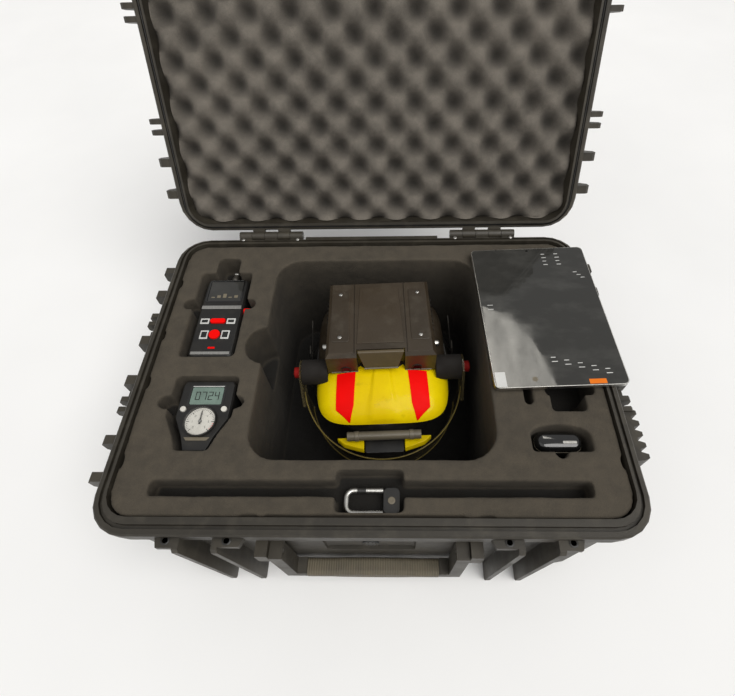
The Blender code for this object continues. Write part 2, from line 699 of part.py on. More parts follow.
def make_module(hub):
    def housing(mesh):
        def ring(inset, z):
            front = MODULE_Y0 + inset
            return at_height([(-MODULE_X + inset, front), (MODULE_X - inset, front),
                              (MODULE_X - 0.003 - inset, MODULE_Y1 - inset),
                              (-MODULE_X + 0.003 + inset, MODULE_Y1 - inset)], z)
        loft(mesh, [ring(0.004, MODULE_LOW), ring(0.0, MODULE_LOW + 0.006), ring(0.0, MODULE_TOP - 0.006),
                    ring(0.005, MODULE_TOP)])

    def nose_seat(mesh):
        block(mesh, (-0.0345, 0.0345), (-0.03, -0.0097), (0.150, 0.21))

    def foot_gap(mesh):
        prism(mesh, [(-0.032, -0.03), (0.032, -0.03), (0.032, -0.006), (-0.032, -0.006)], 0.140, 0.1655)

    def lens_bore(mesh):
        rod(mesh, (-LENS_X, -0.03, LENS_Z), (-LENS_X, -0.0142, LENS_Z), LENS_R + GAP, 16)

    def grooves(mesh):
        for sign in (-1, 1):
            block(mesh, tuple(sorted((sign * 0.0370, sign * 0.0385))), (-0.03, 0.12),
                  (MODULE_TOP - 0.0015, MODULE_TOP + 0.01))

    solid("module_housing", housing, "module_plastic", parent=hub,
          cuts=[dome_cut(GAP), nose_seat, foot_gap, lens_bore, grooves])

    def nose(mesh):
        """A cover that narrows and steps forward towards its foot."""
        levels = ((0.0245, -0.0215, 0.1700), (0.0250, -0.0240, 0.1740), (0.0336, -0.0150, 0.1990))
        loft(mesh, [[(-x, y, z), (x, y, z), (x, -0.0102, z), (-x, -0.0102, z)] for x, y, z in levels])

    def lens(mesh):
        rod(mesh, (-LENS_X, -0.0190, LENS_Z), (-LENS_X, -0.0145, LENS_Z), LENS_R, 16)

    solid("module_nose", nose, "module_light", cuts=[dome_cut(GAP)], parent=hub)
    solid("module_lens", lens, "screen", parent=hub)


def make_face_parts(hub):
    def stripe(mesh):
        """A thin shell over the dome, later trimmed to a pointed band."""
        outer = dome_rings(0.0010, SHELL_LOW)
        inner = dome_rings(GAP, SHELL_LOW)
        loft(mesh, list(reversed(inner)) + outer)

    def keep_band(sign):
        outline = [(sign * x, y) for x, y in ((0.0390, -0.0245), (0.0420, -0.0700), (0.0485, -0.0880),
                                              (0.0670, -0.0740), (0.0650, -0.0245))]
        return lambda mesh: prism(mesh, outline, 0.1295, 0.22)

    def bar(mesh):
        rod(mesh, (-0.054, *BAR_AT), (0.054, *BAR_AT), 0.0068, 14)

    def collar(sign):
        return lambda mesh: rod(mesh, (sign * 0.0370, *BAR_AT), (sign * 0.0430, *BAR_AT), 0.0076, 14)

    def brow(sign):
        half = ((0.0300, 0.0), (0.0700, 0.0), (0.0590, -0.010), (0.0300, -0.019))
        outline = [(sign * x, y) for x, y in half]
        levels = ((0.0880, -0.1010), (0.0940, -0.1030), (0.1010, -0.1000))
        return lambda mesh: loft(mesh, [[(x, y + shift, z) for x, y in outline] for z, shift in levels])

    def chin(mesh):
        loft(mesh, [at_height(spread(-0.0285, 0.0285, -0.1270, -0.1010, 0.003, 2), 0.0840),
                    at_height(spread(-0.0285, 0.0285, -0.1250, -0.1010, 0.003, 2), 0.1010)])

    def pod(sign):
        return lambda mesh: rod(mesh, (sign * 0.0803, VISOR_PIVOT_Y, VISOR_PIVOT_Z),
                                (sign * 0.1185, VISOR_PIVOT_Y, VISOR_PIVOT_Z), 0.0190, 20)

    solid("front_bar", bar, "grey_bar", adds=[collar(-1), collar(1)], parent=hub)
    solid("chin_block", chin, "dark_plastic", cuts=[band_cut], parent=hub)
    for side, sign in SIDES:
        solid("stripe_" + side, stripe, "red", keeps=[keep_band(sign)], parent=hub)
        solid("brow_guard_" + side, brow(sign), "yellow", cuts=[band_cut], parent=hub)
        solid("side_pod_" + side, pod(sign), "dark_plastic", cuts=[dome_cut(GAP)], parent=hub)


def band_cut(mesh):
    """Room for the rim band, behind the face parts."""
    loft(mesh, [at_height(ellipse(0.1165, 0.1205, (0.0, DOME_CY), 32), z) for z in (0.07, 0.13)])


def make_visor(hub):
    """A curved face shield on two side pivots."""
    at = (0.0, VISOR_PIVOT_Y, VISOR_PIVOT_Z)
    axis = pivot("visor_axis", at, parent=hub)

    def shield(mesh):
        start, end = pi * 1.05, pi * 1.95
        outer_low = ellipse(0.1180, 0.1330, (0.0, 0.0), 25, start, end)
        inner_low = list(reversed(ellipse(0.1155, 0.1305, (0.0, 0.0), 25, start, end)))
        outer_high = ellipse(0.1240, 0.1390, (0.0, 0.0), 25, start, end)
        inner_high = list(reversed(ellipse(0.1215, 0.1365, (0.0, 0.0), 25, start, end)))
        loft(mesh, [at_height(outer_low + inner_low, 0.054), at_height(outer_high + inner_high, 0.1080)])

    def ear(sign):
        profile = [(-0.045, 0.100), (-0.020, 0.100), (0.004, 0.138), (0.004, 0.156), (-0.008, 0.162),
                   (-0.026, 0.156), (-0.050, 0.108)]
        return lambda mesh: slab_x(mesh, profile, *sorted((sign * 0.1190, sign * 0.1225)))

    def knob(sign):
        inner, outer = (sign * 0.1228, at[1], at[2]), (sign * 0.1310, at[1], at[2])
        return lambda mesh: rod(mesh, inner, outer, 0.0085, 16)

    solid("helmet_visor", shield, "clear", adds=[ear(-1), ear(1)], origin=at, parent=axis)
    for side, sign in SIDES:
        solid("visor_knob_" + side, knob(sign), "red", origin=at, parent=axis)


# ---------------------------------------------------------------- gas detector
def make_gas_detector():
    x, y = GAS_X, GAS_Y
    top = GAS_Z1
    at = (x, y, GAS_Z0)
    screen = (x - 0.0255, x + 0.0255, y + 0.0290, y + 0.0680)
    wide = (x - 0.0115, x + 0.0115, -0.0140 + y, -0.0055 + y)

    def body(mesh):
        loft(mesh, [at_height(rounded(GAS_W - 0.006, GAS_L - 0.006, 0.006, (x, y), 3), GAS_Z0),
                    at_height(rounded(GAS_W, GAS_L, 0.008, (x, y), 3), GAS_Z0 + 0.006),
                    at_height(rounded(GAS_W, GAS_L, 0.008, (x, y), 3), top - 0.004),
                    at_height(rounded(GAS_W - 0.006, GAS_L - 0.006, 0.006, (x, y), 3), top)])

    def screen_seat(mesh):
        prism(mesh, spread(*screen, 0.002, 2), top - 0.0020, top + 0.01)

    def key_seats(mesh):
        rod(mesh, (x, y - 0.0345, top - 0.004), (x, y - 0.0345, top + 0.01), 0.0083, 20)

    def wide_seat(mesh):
        prism(mesh, spread(*wide, 0.003, 2), top - 0.004, top + 0.01)

    seats = [screen_seat, key_seats, wide_seat]
    body_node = solid("gas_housing", body, "dark_plastic", cuts=seats, origin=at)

    def screen_plate(mesh):
        x0, x1, y0, y1 = screen
        prism(mesh, spread(x0 + GAP, x1 - GAP, y0 + GAP, y1 - GAP, 0.002, 2), top - 0.0017, top - 0.0002)

    def inlet(mesh):
        rod(mesh, (x + 0.0070, y + GAS_L / 2 + GAP, 0.192), (x + 0.0070, y + 0.0940, 0.192), 0.0042, 14)

    for name, build, surface in (("gas_screen", screen_plate, "screen"), ("gas_inlet", inlet, "steel")):
        child = solid(name, build, surface, origin=at)
        child.location = (0.0, 0.0, 0.0)
        child.parent = body_node

    def round_key(mesh):
        rod(mesh, (x, y - 0.0345, top - 0.0022), (x, y - 0.0345, top + 0.0022), 0.0083 - GAP, 20)

    def wide_key(mesh):
        x0, x1, y0, y1 = wide
        prism(mesh, spread(x0 + GAP, x1 - GAP, y0 + GAP, y1 - GAP, 0.003, 2), top - 0.0022, top + 0.0020)

    solid("gas_round_key", round_key, "red", origin=(x, y - 0.0345, top))
    solid("gas_wide_key", wide_key, "red", origin=(x, (wide[2] + wide[3]) / 2, top))


# ---------------------------------------------------------------- gauge
def gauge_outline(grow=0.0):
    """The gauge's outline from above, as offsets from its centre line and y."""
    half = ((0.0335, -0.0290), (0.0360, -0.0340), (0.0360, -0.0830), (0.0220, -0.1080), (0.0150, -0.1270))
    right = [(dx + grow, y + grow * (1 if y > -0.08 else -1) * (abs(y + 0.08) > 0.02)) for dx, y in half]
    left = [(-dx, y) for dx, y in right]
    return list(reversed(right)) + left


def make_gauge():
    x, top = GAUGE_X, GAUGE_Z1
    at = (x, DIAL_Y, GAUGE_Z0)
    lcd = (x - 0.0215, x + 0.0215, -0.0635, -0.0370)
    dial = (x, DIAL_Y)
    buttons = ((x - 0.0270, -0.0700), (x + 0.0270, -0.0700))

    def body(mesh):
        loft(mesh, [at_height([(x + dx * k, y) for dx, y in gauge_outline()], z)
                    for k, z in ((0.94, GAUGE_Z0), (1.0, GAUGE_Z0 + 0.005), (1.0, top - 0.003), (0.94, top))])

    def seats(mesh):
        prism(mesh, spread(*lcd, 0.002, 2), top - 0.0020, top + 0.01)

    def button_seats(mesh):
        for bx, by in buttons:
            rod(mesh, (bx, by, top - 0.004), (bx, by, top + 0.01), 0.0042, 14)

    body_node = solid("gauge_housing", body, "dark_plastic", cuts=[seats, button_seats], origin=at)

    def display(mesh):
        x0, x1, y0, y1 = lcd
        prism(mesh, spread(x0 + GAP, x1 - GAP, y0 + GAP, y1 - GAP, 0.002, 2), top - 0.0017, top + 0.0003)

    def ring(mesh):
        low, high = top + GAP, top + 0.0050
        outer, inner = DIAL_R + 0.0020, DIAL_R + GAP
        loft(mesh, [at_height(ellipse(r, r, dial, 28), z)
                    for r, z in ((outer, low), (outer, high), (inner, high), (inner, low))], close=True)

    def disc(mesh):
        prism(mesh, ellipse(DIAL_R, DIAL_R, dial, 28), top + GAP, top + 0.0012)

    def lens(mesh):
        prism(mesh, ellipse(DIAL_R, DIAL_R, dial, 28), top + 0.0040, top + 0.0048)

    for name, build, surface in (("gauge_display", display, "lcd"), ("gauge_dial_ring", ring, "dark_plastic"),
                                 ("gauge_dial", disc, "white"), ("gauge_lens", lens, "clear")):
        child = solid(name, build, surface, origin=at)
        child.location = (0.0, 0.0, 0.0)
        child.parent = body_node

    def needle(mesh):
        tail, tip = DIAL_Y - 0.004, DIAL_Y + 0.0145
        outline = [(x - 0.0012, tail), (x + 0.0012, tail), (x + 0.0004, tip), (x - 0.0004, tip)]
        prism(mesh, outline, top + 0.0020, top + 0.0028)

    def needle_hub(mesh):
        rod(mesh, (x, DIAL_Y, top + 0.0015), (x, DIAL_Y, top + 0.0034), 0.0022, 12)

    solid("gauge_needle", needle, "dark_plastic", adds=[needle_hub], origin=(*dial, top))
    for name, (bx, by) in zip(("gauge_button_left", "gauge_button_right"), buttons):
        def button(mesh):
            rod(mesh, (bx, by, top - 0.0022), (bx, by, top + 0.0018), 0.0042 - GAP, 14)
        solid(name, button, "white", origin=(bx, by, top))


# ---------------------------------------------------------------- tablet
def make_tablet():
    z0 = BASE_H + GAP
    hub = pivot("tablet_axis", (*TABLET_AT, z0), (0.0, 0.0, TABLET_TURN))
    key_x = TABLET_W / 2

    def body(mesh):
        loft(mesh, [at_height(rounded(TABLET_W - 0.003, TABLET_L - 0.003, 0.006, steps=3), 0.0),
                    at_height(rounded(TABLET_W, TABLET_L, 0.007, steps=3), 0.0015),
                    at_height(rounded(TABLET_W, TABLET_L, 0.007, steps=3), TABLET_T)])

    def key_seats(mesh):
        block(mesh, (key_x - 0.0030, key_x + 0.01), (0.0600, 0.0820), (0.0020, 0.0048))
        block(mesh, (key_x - 0.0030, key_x + 0.01), (0.0895, 0.1005), (0.0020, 0.0048))

    def glass(mesh):
        prism(mesh, rounded(TABLET_W - 0.0016, TABLET_L - 0.0016, 0.0065, steps=3), TABLET_T + GAP, 0.0076)

    def key(low, high):
        return lambda mesh: block(mesh, (key_x - 0.0018, key_x + 0.0007), (low + GAP, high - GAP),
                                  (0.0020 + GAP, 0.0048 - GAP))

    solid("tablet_housing", body, "silver", cuts=[key_seats], parent=hub)
    solid("tablet_glass", glass, "screen", parent=hub)
    solid("tablet_volume_key", key(0.0600, 0.0820), "silver", parent=hub)
    solid("tablet_power_key", key(0.0895, 0.1005), "silver", parent=hub)


# ---------------------------------------------------------------- domed device and clip
def make_remote():
    at = (*REMOTE_AT, REMOTE_Z0)

    def base(mesh):
        full = rounded(REMOTE_W, REMOTE_D, 0.011, REMOTE_AT, 4)
        loft(mesh, [at_height(rounded(0.050, 0.018, 0.008, REMOTE_AT, 4), REMOTE_Z0),
                    at_height(full, REMOTE_Z0 + 0.0050), at_height(full, REMOTE_RIM)])

    def cap(mesh):
        rings = []
        for inset, z in ((0.0, REMOTE_RIM + GAP), (0.0005, 0.1990), (0.0030, 0.2030), (0.0075, REMOTE_TOP)):
            outline = rounded(REMOTE_W - 2 * inset, REMOTE_D - 2 * inset, 0.0112 - inset, REMOTE_AT, 4)
            rings.append(at_height(outline, z))
        loft(mesh, rings)

    def strip_seat(mesh):
        prism(mesh, spread(*STRIP_SIDES, 0.0015, 2), 0.2030, 0.2100)

    def strip(mesh):
        x0, x1, y0, y1 = STRIP_SIDES
        prism(mesh, spread(x0 + GAP, x1 - GAP, y0 + GAP, y1 - GAP, 0.0012, 2), 0.2042, 0.2062)

    body_node = solid("remote_base", base, "dark_plastic", origin=at)
    child = solid("remote_cap", cap, "screen", cuts=[strip_seat], origin=at)
    child.location = (0.0, 0.0, 0.0)
    child.parent = body_node
    solid("remote_strip", strip, "silver", origin=(REMOTE_AT[0] + 0.0125, REMOTE_AT[1] - 0.0030, 0.2042))


def make_clip():
    cx, cy = CLIP_AT
    at = (cx, cy, CLIP_Z)

    def loop(mesh):
        """A round bar bent to a U that opens towards the hub."""
        bar, bend = 0.0035, 0.0080
        path = [(cx + 0.0190, cy + CLIP_HALF)]
        for side, start in ((1, pi / 2), (-1, pi)):
            turns = [start + pi / 2 * i / 4 for i in range(5)]
            middle = (cx - 0.0160, cy + side * (CLIP_HALF - bend))
            path += [(middle[0] + bend * cos(t), middle[1] + bend * sin(t)) for t in turns]
        path += [(cx + 0.0190, cy - CLIP_HALF)]
        rings = []
        for i, (px, py) in enumerate(path):
            before = Vector(path[max(i - 1, 0)])
            after = Vector(path[min(i + 1, len(path) - 1)])
            along = (after - before).normalized()
            side = Vector((along.y, -along.x, 0.0))
            turns = [2 * pi * k / 10 for k in range(10)]
            rings.append([Vector((px, py, CLIP_Z)) + bar * (cos(t) * side + sin(t) * Vector((0, 0, 1)))
                          for t in turns])
        loft(mesh, rings)

    def hub_body(mesh):
        prism(mesh, spread(cx + 0.0193, cx + 0.0390, cy - 0.0155, cy + 0.0155, 0.006, 4),
              CLIP_Z - 0.0055, CLIP_Z + 0.0055)

    body_node = solid("clip_loop", loop, "silver", origin=at)
    child = solid("clip_hub", hub_body, "dark_plastic", origin=at)
    child.location = (0.0, 0.0, 0.0)
    child.parent = body_node


# ---------------------------------------------------------------- assembly
def main():
    for old in list(bpy.data.objects):
        bpy.data.objects.remove(old)
    make_base()
    make_base_hardware()
    make_front_handle()
    make_side_handle("side_handle_left", -1)
    make_side_handle("side_handle_right", 1)
    make_lid()
    make_foam()
    make_helmet()
    make_gas_detector()
    make_gauge()
    make_tablet()
    make_remote()
    make_clip()


main()
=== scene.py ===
"""Looks for a rugged equipment case with a stowed inspection kit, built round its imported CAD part.

Metres, +Z up, the case's front faces -Y. Lid pieces are drawn in the closed place and turned open about
the hinge; helmet and tablet pieces are drawn in their own axes and then put in place.
"""

import json
from math import cos, pi, radians, sin, sqrt

import bmesh
import bpy
from mathutils import Matrix, Vector, noise


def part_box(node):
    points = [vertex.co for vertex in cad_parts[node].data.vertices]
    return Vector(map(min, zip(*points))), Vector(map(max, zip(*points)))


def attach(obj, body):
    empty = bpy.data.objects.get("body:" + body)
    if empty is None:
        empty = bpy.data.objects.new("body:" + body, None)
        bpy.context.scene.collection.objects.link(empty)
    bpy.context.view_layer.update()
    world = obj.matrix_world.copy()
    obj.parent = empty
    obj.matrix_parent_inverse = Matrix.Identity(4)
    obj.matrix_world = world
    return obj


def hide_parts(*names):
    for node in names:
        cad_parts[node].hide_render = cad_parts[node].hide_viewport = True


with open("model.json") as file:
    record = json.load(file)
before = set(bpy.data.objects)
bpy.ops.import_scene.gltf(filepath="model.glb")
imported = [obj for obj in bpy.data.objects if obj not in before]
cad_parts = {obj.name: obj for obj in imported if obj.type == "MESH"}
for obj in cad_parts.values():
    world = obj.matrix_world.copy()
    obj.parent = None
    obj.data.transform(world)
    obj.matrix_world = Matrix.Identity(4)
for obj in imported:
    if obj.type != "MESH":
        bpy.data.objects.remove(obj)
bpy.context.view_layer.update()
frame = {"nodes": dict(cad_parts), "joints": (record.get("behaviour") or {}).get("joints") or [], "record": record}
NODES = frame["nodes"]

# ---------------------------------------------------------------- driving dimensions
RIM_D = 0.463
LID_OPEN = radians(115.5)
LID_FACE, LID_BACK, LID_OUT = 0.2227, 0.2655, 0.272
LID_FOAM_W, LID_FOAM_D, LID_FOAM_R, LID_FOAM_CY = 0.5980, 0.4270, 0.027, 0.005
EGG_PITCH, EGG_DEPTH = 0.0285, 0.0215           # half the distance between pits along a row, and their depth
EGG_X, EGG_Y = 0.0039, 0.2240                   # a pit's centre, closed-lid axes
EGG_CREST = 0.0012                              # how far the crests stay behind the foam's face
SIDES = (("left", -1), ("right", 1))

HELMET_TURN, TABLET_TURN = radians(2.4), radians(2.2)
DOME_CY, DOME_A, DOME_B, DOME_Z0, DOME_C = 0.022, 0.101, 0.116, 0.118, 0.042
DOME_ROUND, DOME_PLAN, DOME_T, DOME_LOW = 2.4, 5.0, 0.003, 0.128
MODULE_TOP = 0.200
VISOR_PIVOT_Y, VISOR_PIVOT_Z = -0.011, 0.146
TABLET_W, TABLET_L = 0.1715, 0.245
SINK, PRINT_SINK = 0.0002, 0.00005              # how far trim and printed marks reach into what they sit on
FOAM_VOXEL = 0.0028
DIAL_SWEEP, DIAL_START = radians(270), radians(225)

CAMERA_AT = (0.0342, -0.3444, 0.7493)
CAMERA_TURN = (33.746, 1.390, 0.642)            # degrees about X, Y and Z
CAMERA_LENS, CAMERA_SENSOR = 22.960, 36.0       # millimetres
CAMERA_SHIFT = (-0.0239, 0.0039)
CARD_HEIGHT, CARD_GLOW = 1.6, 8.5
FLOOR_HALF, FLOOR_TOP = 6.0, -0.0005


# ---------------------------------------------------------------- where things are
def centre(node):
    low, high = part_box(node)
    return (low + high) / 2


def top(node):
    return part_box(node)[1].z


def joint_point(name):
    for joint in frame["joints"]:
        if joint["name"] == name:
            return Vector(joint["pos_m"])
    raise ValueError(name)


HINGE = joint_point("lid_hinge")
LID = Matrix.Translation(HINGE) @ Matrix.Rotation(-LID_OPEN, 4, "X") @ Matrix.Translation(-HINGE)
SKIRT = centre("helmet_skirt")
HELMET = Matrix.Translation((SKIRT.x, SKIRT.y, 0.0)) @ Matrix.Rotation(HELMET_TURN, 4, "Z")
HELMET = HELMET @ Matrix.Translation((0.0, -DOME_CY, 0.0))
TABLET_AT = centre("tablet_glass")
TABLET = Matrix.Translation((TABLET_AT.x, TABLET_AT.y, top("tablet_glass")))
TABLET = TABLET @ Matrix.Rotation(TABLET_TURN, 4, "Z")
HERE = Matrix.Identity(4)
LID_NORMAL = LID.to_3x3() @ Vector((0.0, 0.0, -1.0))
FACE_LEVEL = LID_NORMAL.dot(LID @ Vector((0.0, 0.0, LID_FACE)))
# painted shade: the lid foam darkens into its pits, and the case foam darkens down its cuts and on the bottoms of
# its pockets
LID_SHADE_DEPTHS = ((FACE_LEVEL - 0.023, FACE_LEVEL - 0.007, 0.80),)
FOAM_TOP = top("foam_insert")
FOAM_SHADE_DEPTHS = ((FOAM_TOP - 0.030, FOAM_TOP - 0.002, 0.34), (0.02, FOAM_TOP - 0.03, 0.72))
FOAM_FLOOR_SHADE = (FOAM_TOP - 0.020, FOAM_TOP - 0.004, 0.90)


# ---------------------------------------------------------------- looks
class Look:
    """A procedural material in the piece's own coordinates, built up layer by layer."""

    def __init__(self, name, metallic=0.0, coat=0.0):
        self.material = bpy.data.materials.new(name)
        self.material.use_nodes = True
        self.tree = self.material.node_tree
        self.shader = self.tree.nodes["Principled BSDF"]
        self.shader.inputs["Metallic"].default_value = metallic
        self.shader.inputs["Coat Weight"].default_value = coat
        self.shader.inputs["Coat Roughness"].default_value = 0.06
        self.place = self.node("ShaderNodeTexCoord").outputs["Object"]
        self.normal = None

    def node(self, kind, **settings):
        made = self.tree.nodes.new(kind)
        for key, value in settings.items():
            setattr(made, key, value)
        return made

    def stretched(self, stretch):
        if stretch == (1, 1, 1):
            return self.place
        made = self.node("ShaderNodeMapping")
        made.inputs["Scale"].default_value = stretch
        self.tree.links.new(self.place, made.inputs["Vector"])
        return made.outputs["Vector"]

    def noise(self, scale, detail=4.0, stretch=(1, 1, 1)):
        made = self.node("ShaderNodeTexNoise")
        made.inputs["Scale"].default_value = scale
        made.inputs["Detail"].default_value = detail
        made.inputs["Roughness"].default_value = 0.6
        self.tree.links.new(self.stretched(stretch), made.inputs["Vector"])
        return made.outputs["Fac"]

    def cells(self, scale):
        made = self.node("ShaderNodeTexVoronoi")
        made.inputs["Scale"].default_value = scale
        self.tree.links.new(self.place, made.inputs["Vector"])
        return made.outputs["Distance"]

    def bands(self, scale, direction, distortion=0.0):
        made = self.node("ShaderNodeTexWave", bands_direction=direction)
        made.inputs["Scale"].default_value = scale
        made.inputs["Distortion"].default_value = distortion
        self.tree.links.new(self.place, made.inputs["Vector"])
        return made.outputs["Fac"]

    def along(self, direction, vector=None):
        """How far a point, or another vector, reaches along a direction."""
        made = self.node("ShaderNodeVectorMath", operation="DOT_PRODUCT")
        made.inputs[1].default_value = direction
        self.tree.links.new(vector or self.place, made.inputs[0])
        return made.outputs["Value"]

    def edges(self):
        return self.node("ShaderNodeNewGeometry").outputs["Pointiness"]

    def scaled(self, source, low, high, to_low=0.0, to_high=1.0):
        made = self.node("ShaderNodeMapRange")
        for key, value in (("From Min", low), ("From Max", high), ("To Min", to_low), ("To Max", to_high)):
            made.inputs[key].default_value = value
        self.tree.links.new(source, made.inputs["Value"])
        return made.outputs["Result"]

    def times(self, first, second):
        made = self.node("ShaderNodeMath", operation="MULTIPLY")
        self.tree.links.new(first, made.inputs[0])
        self.tree.links.new(second, made.inputs[1])
        return made.outputs["Value"]

    def mixed(self, factor, first, second):
        """Two colours, or colour sockets, mixed by a factor socket."""
        made = self.node("ShaderNodeMix", data_type="RGBA")
        self.tree.links.new(factor, made.inputs["Factor"])
        for value, place in ((first, made.inputs[6]), (second, made.inputs[7])):
            if isinstance(value, tuple):
                place.default_value = (*value, 1.0)
            else:
                self.tree.links.new(value, place)
        return made.outputs[2]

    def bump(self, height, depth, strength=1.0):
        made = self.node("ShaderNodeBump")
        made.inputs["Strength"].default_value = strength
        made.inputs["Distance"].default_value = depth
        self.tree.links.new(height, made.inputs["Height"])
        if self.normal:
            self.tree.links.new(self.normal, made.inputs["Normal"])
        self.normal = made.outputs["Normal"]

    def done(self, colour, roughness):
        self.tree.links.new(colour, self.shader.inputs["Base Color"])
        self.tree.links.new(roughness, self.shader.inputs["Roughness"])
        if self.normal:
            self.tree.links.new(self.normal, self.shader.inputs["Normal"])
        return self.material


def shade(colour, factor):
    return tuple(min(1.0, channel * factor) for channel in colour)


DUST = (0.120, 0.105, 0.078)
NO_SHINE = 0.07             # specular level of the satin paints


def moulded(name, colour, roughness, grain=1100.0, depth=0.00012, worn=0.5, dusty=0.35):
    """Moulded plastic or rubber: blotches, pebble grain, dust, rubbed edges and faint scratches."""
    look = Look(name)
    blotches = look.noise(11.0, 6.0)
    fine = look.noise(grain, 3.0)
    scratches = look.scaled(look.noise(70.0, 5.0, (1.0, 17.0, 5.0)), 0.64, 0.70)
    base = look.mixed(look.scaled(blotches, 0.3, 0.7), shade(colour, 0.78), shade(colour, 1.16))
    dust = look.scaled(look.noise(37.0, 8.0), 0.50, 0.78, 0.0, dusty)
    base = look.mixed(dust, base, DUST)
    base = look.mixed(look.scaled(scratches, 0.0, 1.0, 0.0, 0.22), base, shade(colour, 2.6))
    edge = look.scaled(look.edges(), 0.52, 0.60, 0.0, worn)
    base = look.mixed(edge, base, shade(colour, 2.2))
    look.bump(look.cells(grain * 0.8), depth, 0.6)
    look.bump(fine, depth)
    look.bump(blotches, depth * 4, 0.5)
    return look.done(base, look.scaled(look.noise(23.0, 7.0), 0.3, 0.7, roughness - 0.10, roughness + 0.12))


def foamed(name, colour, cell, layers, facing, shade_depths, floor_shade=None):
    """Open-cell foam: fine pores, mottling, dust, glued layers, and painted shade that darkens it in its hollows.

    shade_depths are (level, level, share) steps of painted shade along the way it faces: the share of dark at the
    first level.
    floor_shade is one more such step of painted shade, for faces that look the same way, such as the bottoms of
    pockets.
    """
    look = Look(name)
    pores = look.cells(cell)
    mottle = look.noise(60.0, 9.0)
    wide = look.noise(6.0, 4.0)
    base = look.mixed(look.scaled(mottle, 0.3, 0.7), shade(colour, 0.74), shade(colour, 1.20))
    base = look.mixed(look.scaled(pores, 0.0, 0.55, 0.55, 0.0), base, shade(colour, 0.45))
    base = look.mixed(look.scaled(wide, 0.45, 0.70, 0.0, 0.4), base, shade(colour, 1.35))
    specks = look.scaled(look.cells(260.0), 0.0, 0.10, 0.55, 0.0)
    base = look.mixed(specks, base, shade(colour, 2.4))
    if layers:
        seams = look.scaled(look.bands(layers, "Z", 0.6), 0.90, 1.0, 0.0, 0.35)
        base = look.mixed(seams, base, shade(colour, 0.55))
    # painted shade: the foam turns darker step by step along the way it faces, where its hollows and the well lie
    # in shade
    for low, high, share in shade_depths:
        base = look.mixed(look.scaled(look.along(facing), low, high, share, 0.0), base, shade(colour, 0.06))
    # painted shade on deep faces that look that way, such as the bottoms of pockets
    if floor_shade:
        flat = look.scaled(look.along(facing, look.node("ShaderNodeNewGeometry").outputs["Normal"]), 0.4, 0.9)
        low, high, share = floor_shade
        deep = look.scaled(look.along(facing), low, high, share, 0.0)
        base = look.mixed(look.times(flat, deep), base, shade(colour, 0.05))
    look.bump(pores, 0.0005, 0.8)
    look.bump(look.noise(420.0, 5.0), 0.0005)
    look.bump(mottle, 0.0012, 0.5)
    return look.done(base, look.scaled(mottle, 0.3, 0.7, 0.90, 1.0))


def brushed(name, colour, roughness, stretch):
    """Metal with fine lines drawn out along one way, and dull marks."""
    look = Look(name, metallic=1.0)
    lines = look.noise(90.0, 6.0, stretch)
    marks = look.noise(28.0, 8.0)
    base = look.mixed(look.scaled(lines, 0.3, 0.7), shade(colour, 0.80), shade(colour, 1.12))
    base = look.mixed(look.scaled(marks, 0.55, 0.75, 0.0, 0.5), base, shade(colour, 0.62))
    look.bump(lines, 0.00006, 0.8)
    return look.done(base, look.scaled(marks, 0.3, 0.7, roughness - 0.08, roughness + 0.16))


def painted(name, colour, deep, roughness, coat):
    """Painted shell: deeper colour in patches, grime, chips at the edges, scratches and orange-peel."""
    look = Look(name, coat=coat)
    look.shader.inputs["Specular IOR Level"].default_value = NO_SHINE
    patches = look.noise(9.0, 5.0)
    grime = look.noise(48.0, 10.0)
    base = look.mixed(look.scaled(patches, 0.35, 0.65), deep, colour)
    base = look.mixed(look.scaled(grime, 0.60, 0.80, 0.0, 0.5), base, shade(deep, 0.45))
    base = look.mixed(look.scaled(look.edges(), 0.54, 0.62, 0.0, 0.35), base, shade(colour, 1.2))
    scratches = look.scaled(look.noise(90.0, 4.0, (1.0, 11.0, 3.0)), 0.66, 0.71, 0.0, 0.3)
    base = look.mixed(scratches, base, shade(deep, 0.6))
    look.bump(look.noise(330.0, 2.0), 0.00008, 0.6)
    look.bump(grime, 0.00012, 0.5)
    return look.done(base, look.scaled(grime, 0.3, 0.7, roughness - 0.08, roughness + 0.18))


def glassy(name, colour, roughness, smears=0.35, coat=0.0):
    """Dark polished glass or gloss plastic with smears, prints and dust."""
    look = Look(name, coat=coat)
    smear = look.noise(17.0, 9.0, (1.0, 2.2, 1.0))
    prints = look.noise(140.0, 4.0)
    base = look.mixed(look.scaled(smear, 0.48, 0.75, 0.0, smears), colour, shade(colour, 3.0))
    specks = look.scaled(look.cells(330.0), 0.0, 0.06, 0.6, 0.0)
    base = look.mixed(specks, base, (0.22, 0.21, 0.19))
    look.bump(prints, 0.00001, 0.3)
    return look.done(base, look.scaled(smear, 0.40, 0.80, roughness, roughness + 0.12))


def see_through(name, colour, opacity):
    """A clear moulded sheet, hazy in patches."""
    look = Look(name)
    look.shader.inputs["Alpha"].default_value = opacity
    haze = look.noise(26.0, 8.0, (1.0, 1.0, 2.5))
    base = look.mixed(look.scaled(haze, 0.4, 0.7), colour, shade(colour, 0.82))
    look.bump(look.noise(45.0, 2.0), 0.00005, 0.4)
    return look.done(base, look.scaled(haze, 0.35, 0.75, 0.03, 0.20))


def ribbed(name, colour):
    """Soft grip rubber with fine cross ribs."""
    look = Look(name)
    ribs = look.bands(95.0, "X", 0.4)
    grime = look.noise(55.0, 8.0)
    base = look.mixed(look.scaled(grime, 0.3, 0.7), shade(colour, 0.72), shade(colour, 1.15))
    base = look.mixed(look.scaled(ribs, 0.0, 0.35, 0.45, 0.0), base, shade(colour, 0.45))
    look.bump(ribs, 0.0006, 0.8)
    look.bump(look.noise(900.0, 3.0), 0.0001)
    return look.done(base, look.scaled(grime, 0.3, 0.7, 0.55, 0.80))


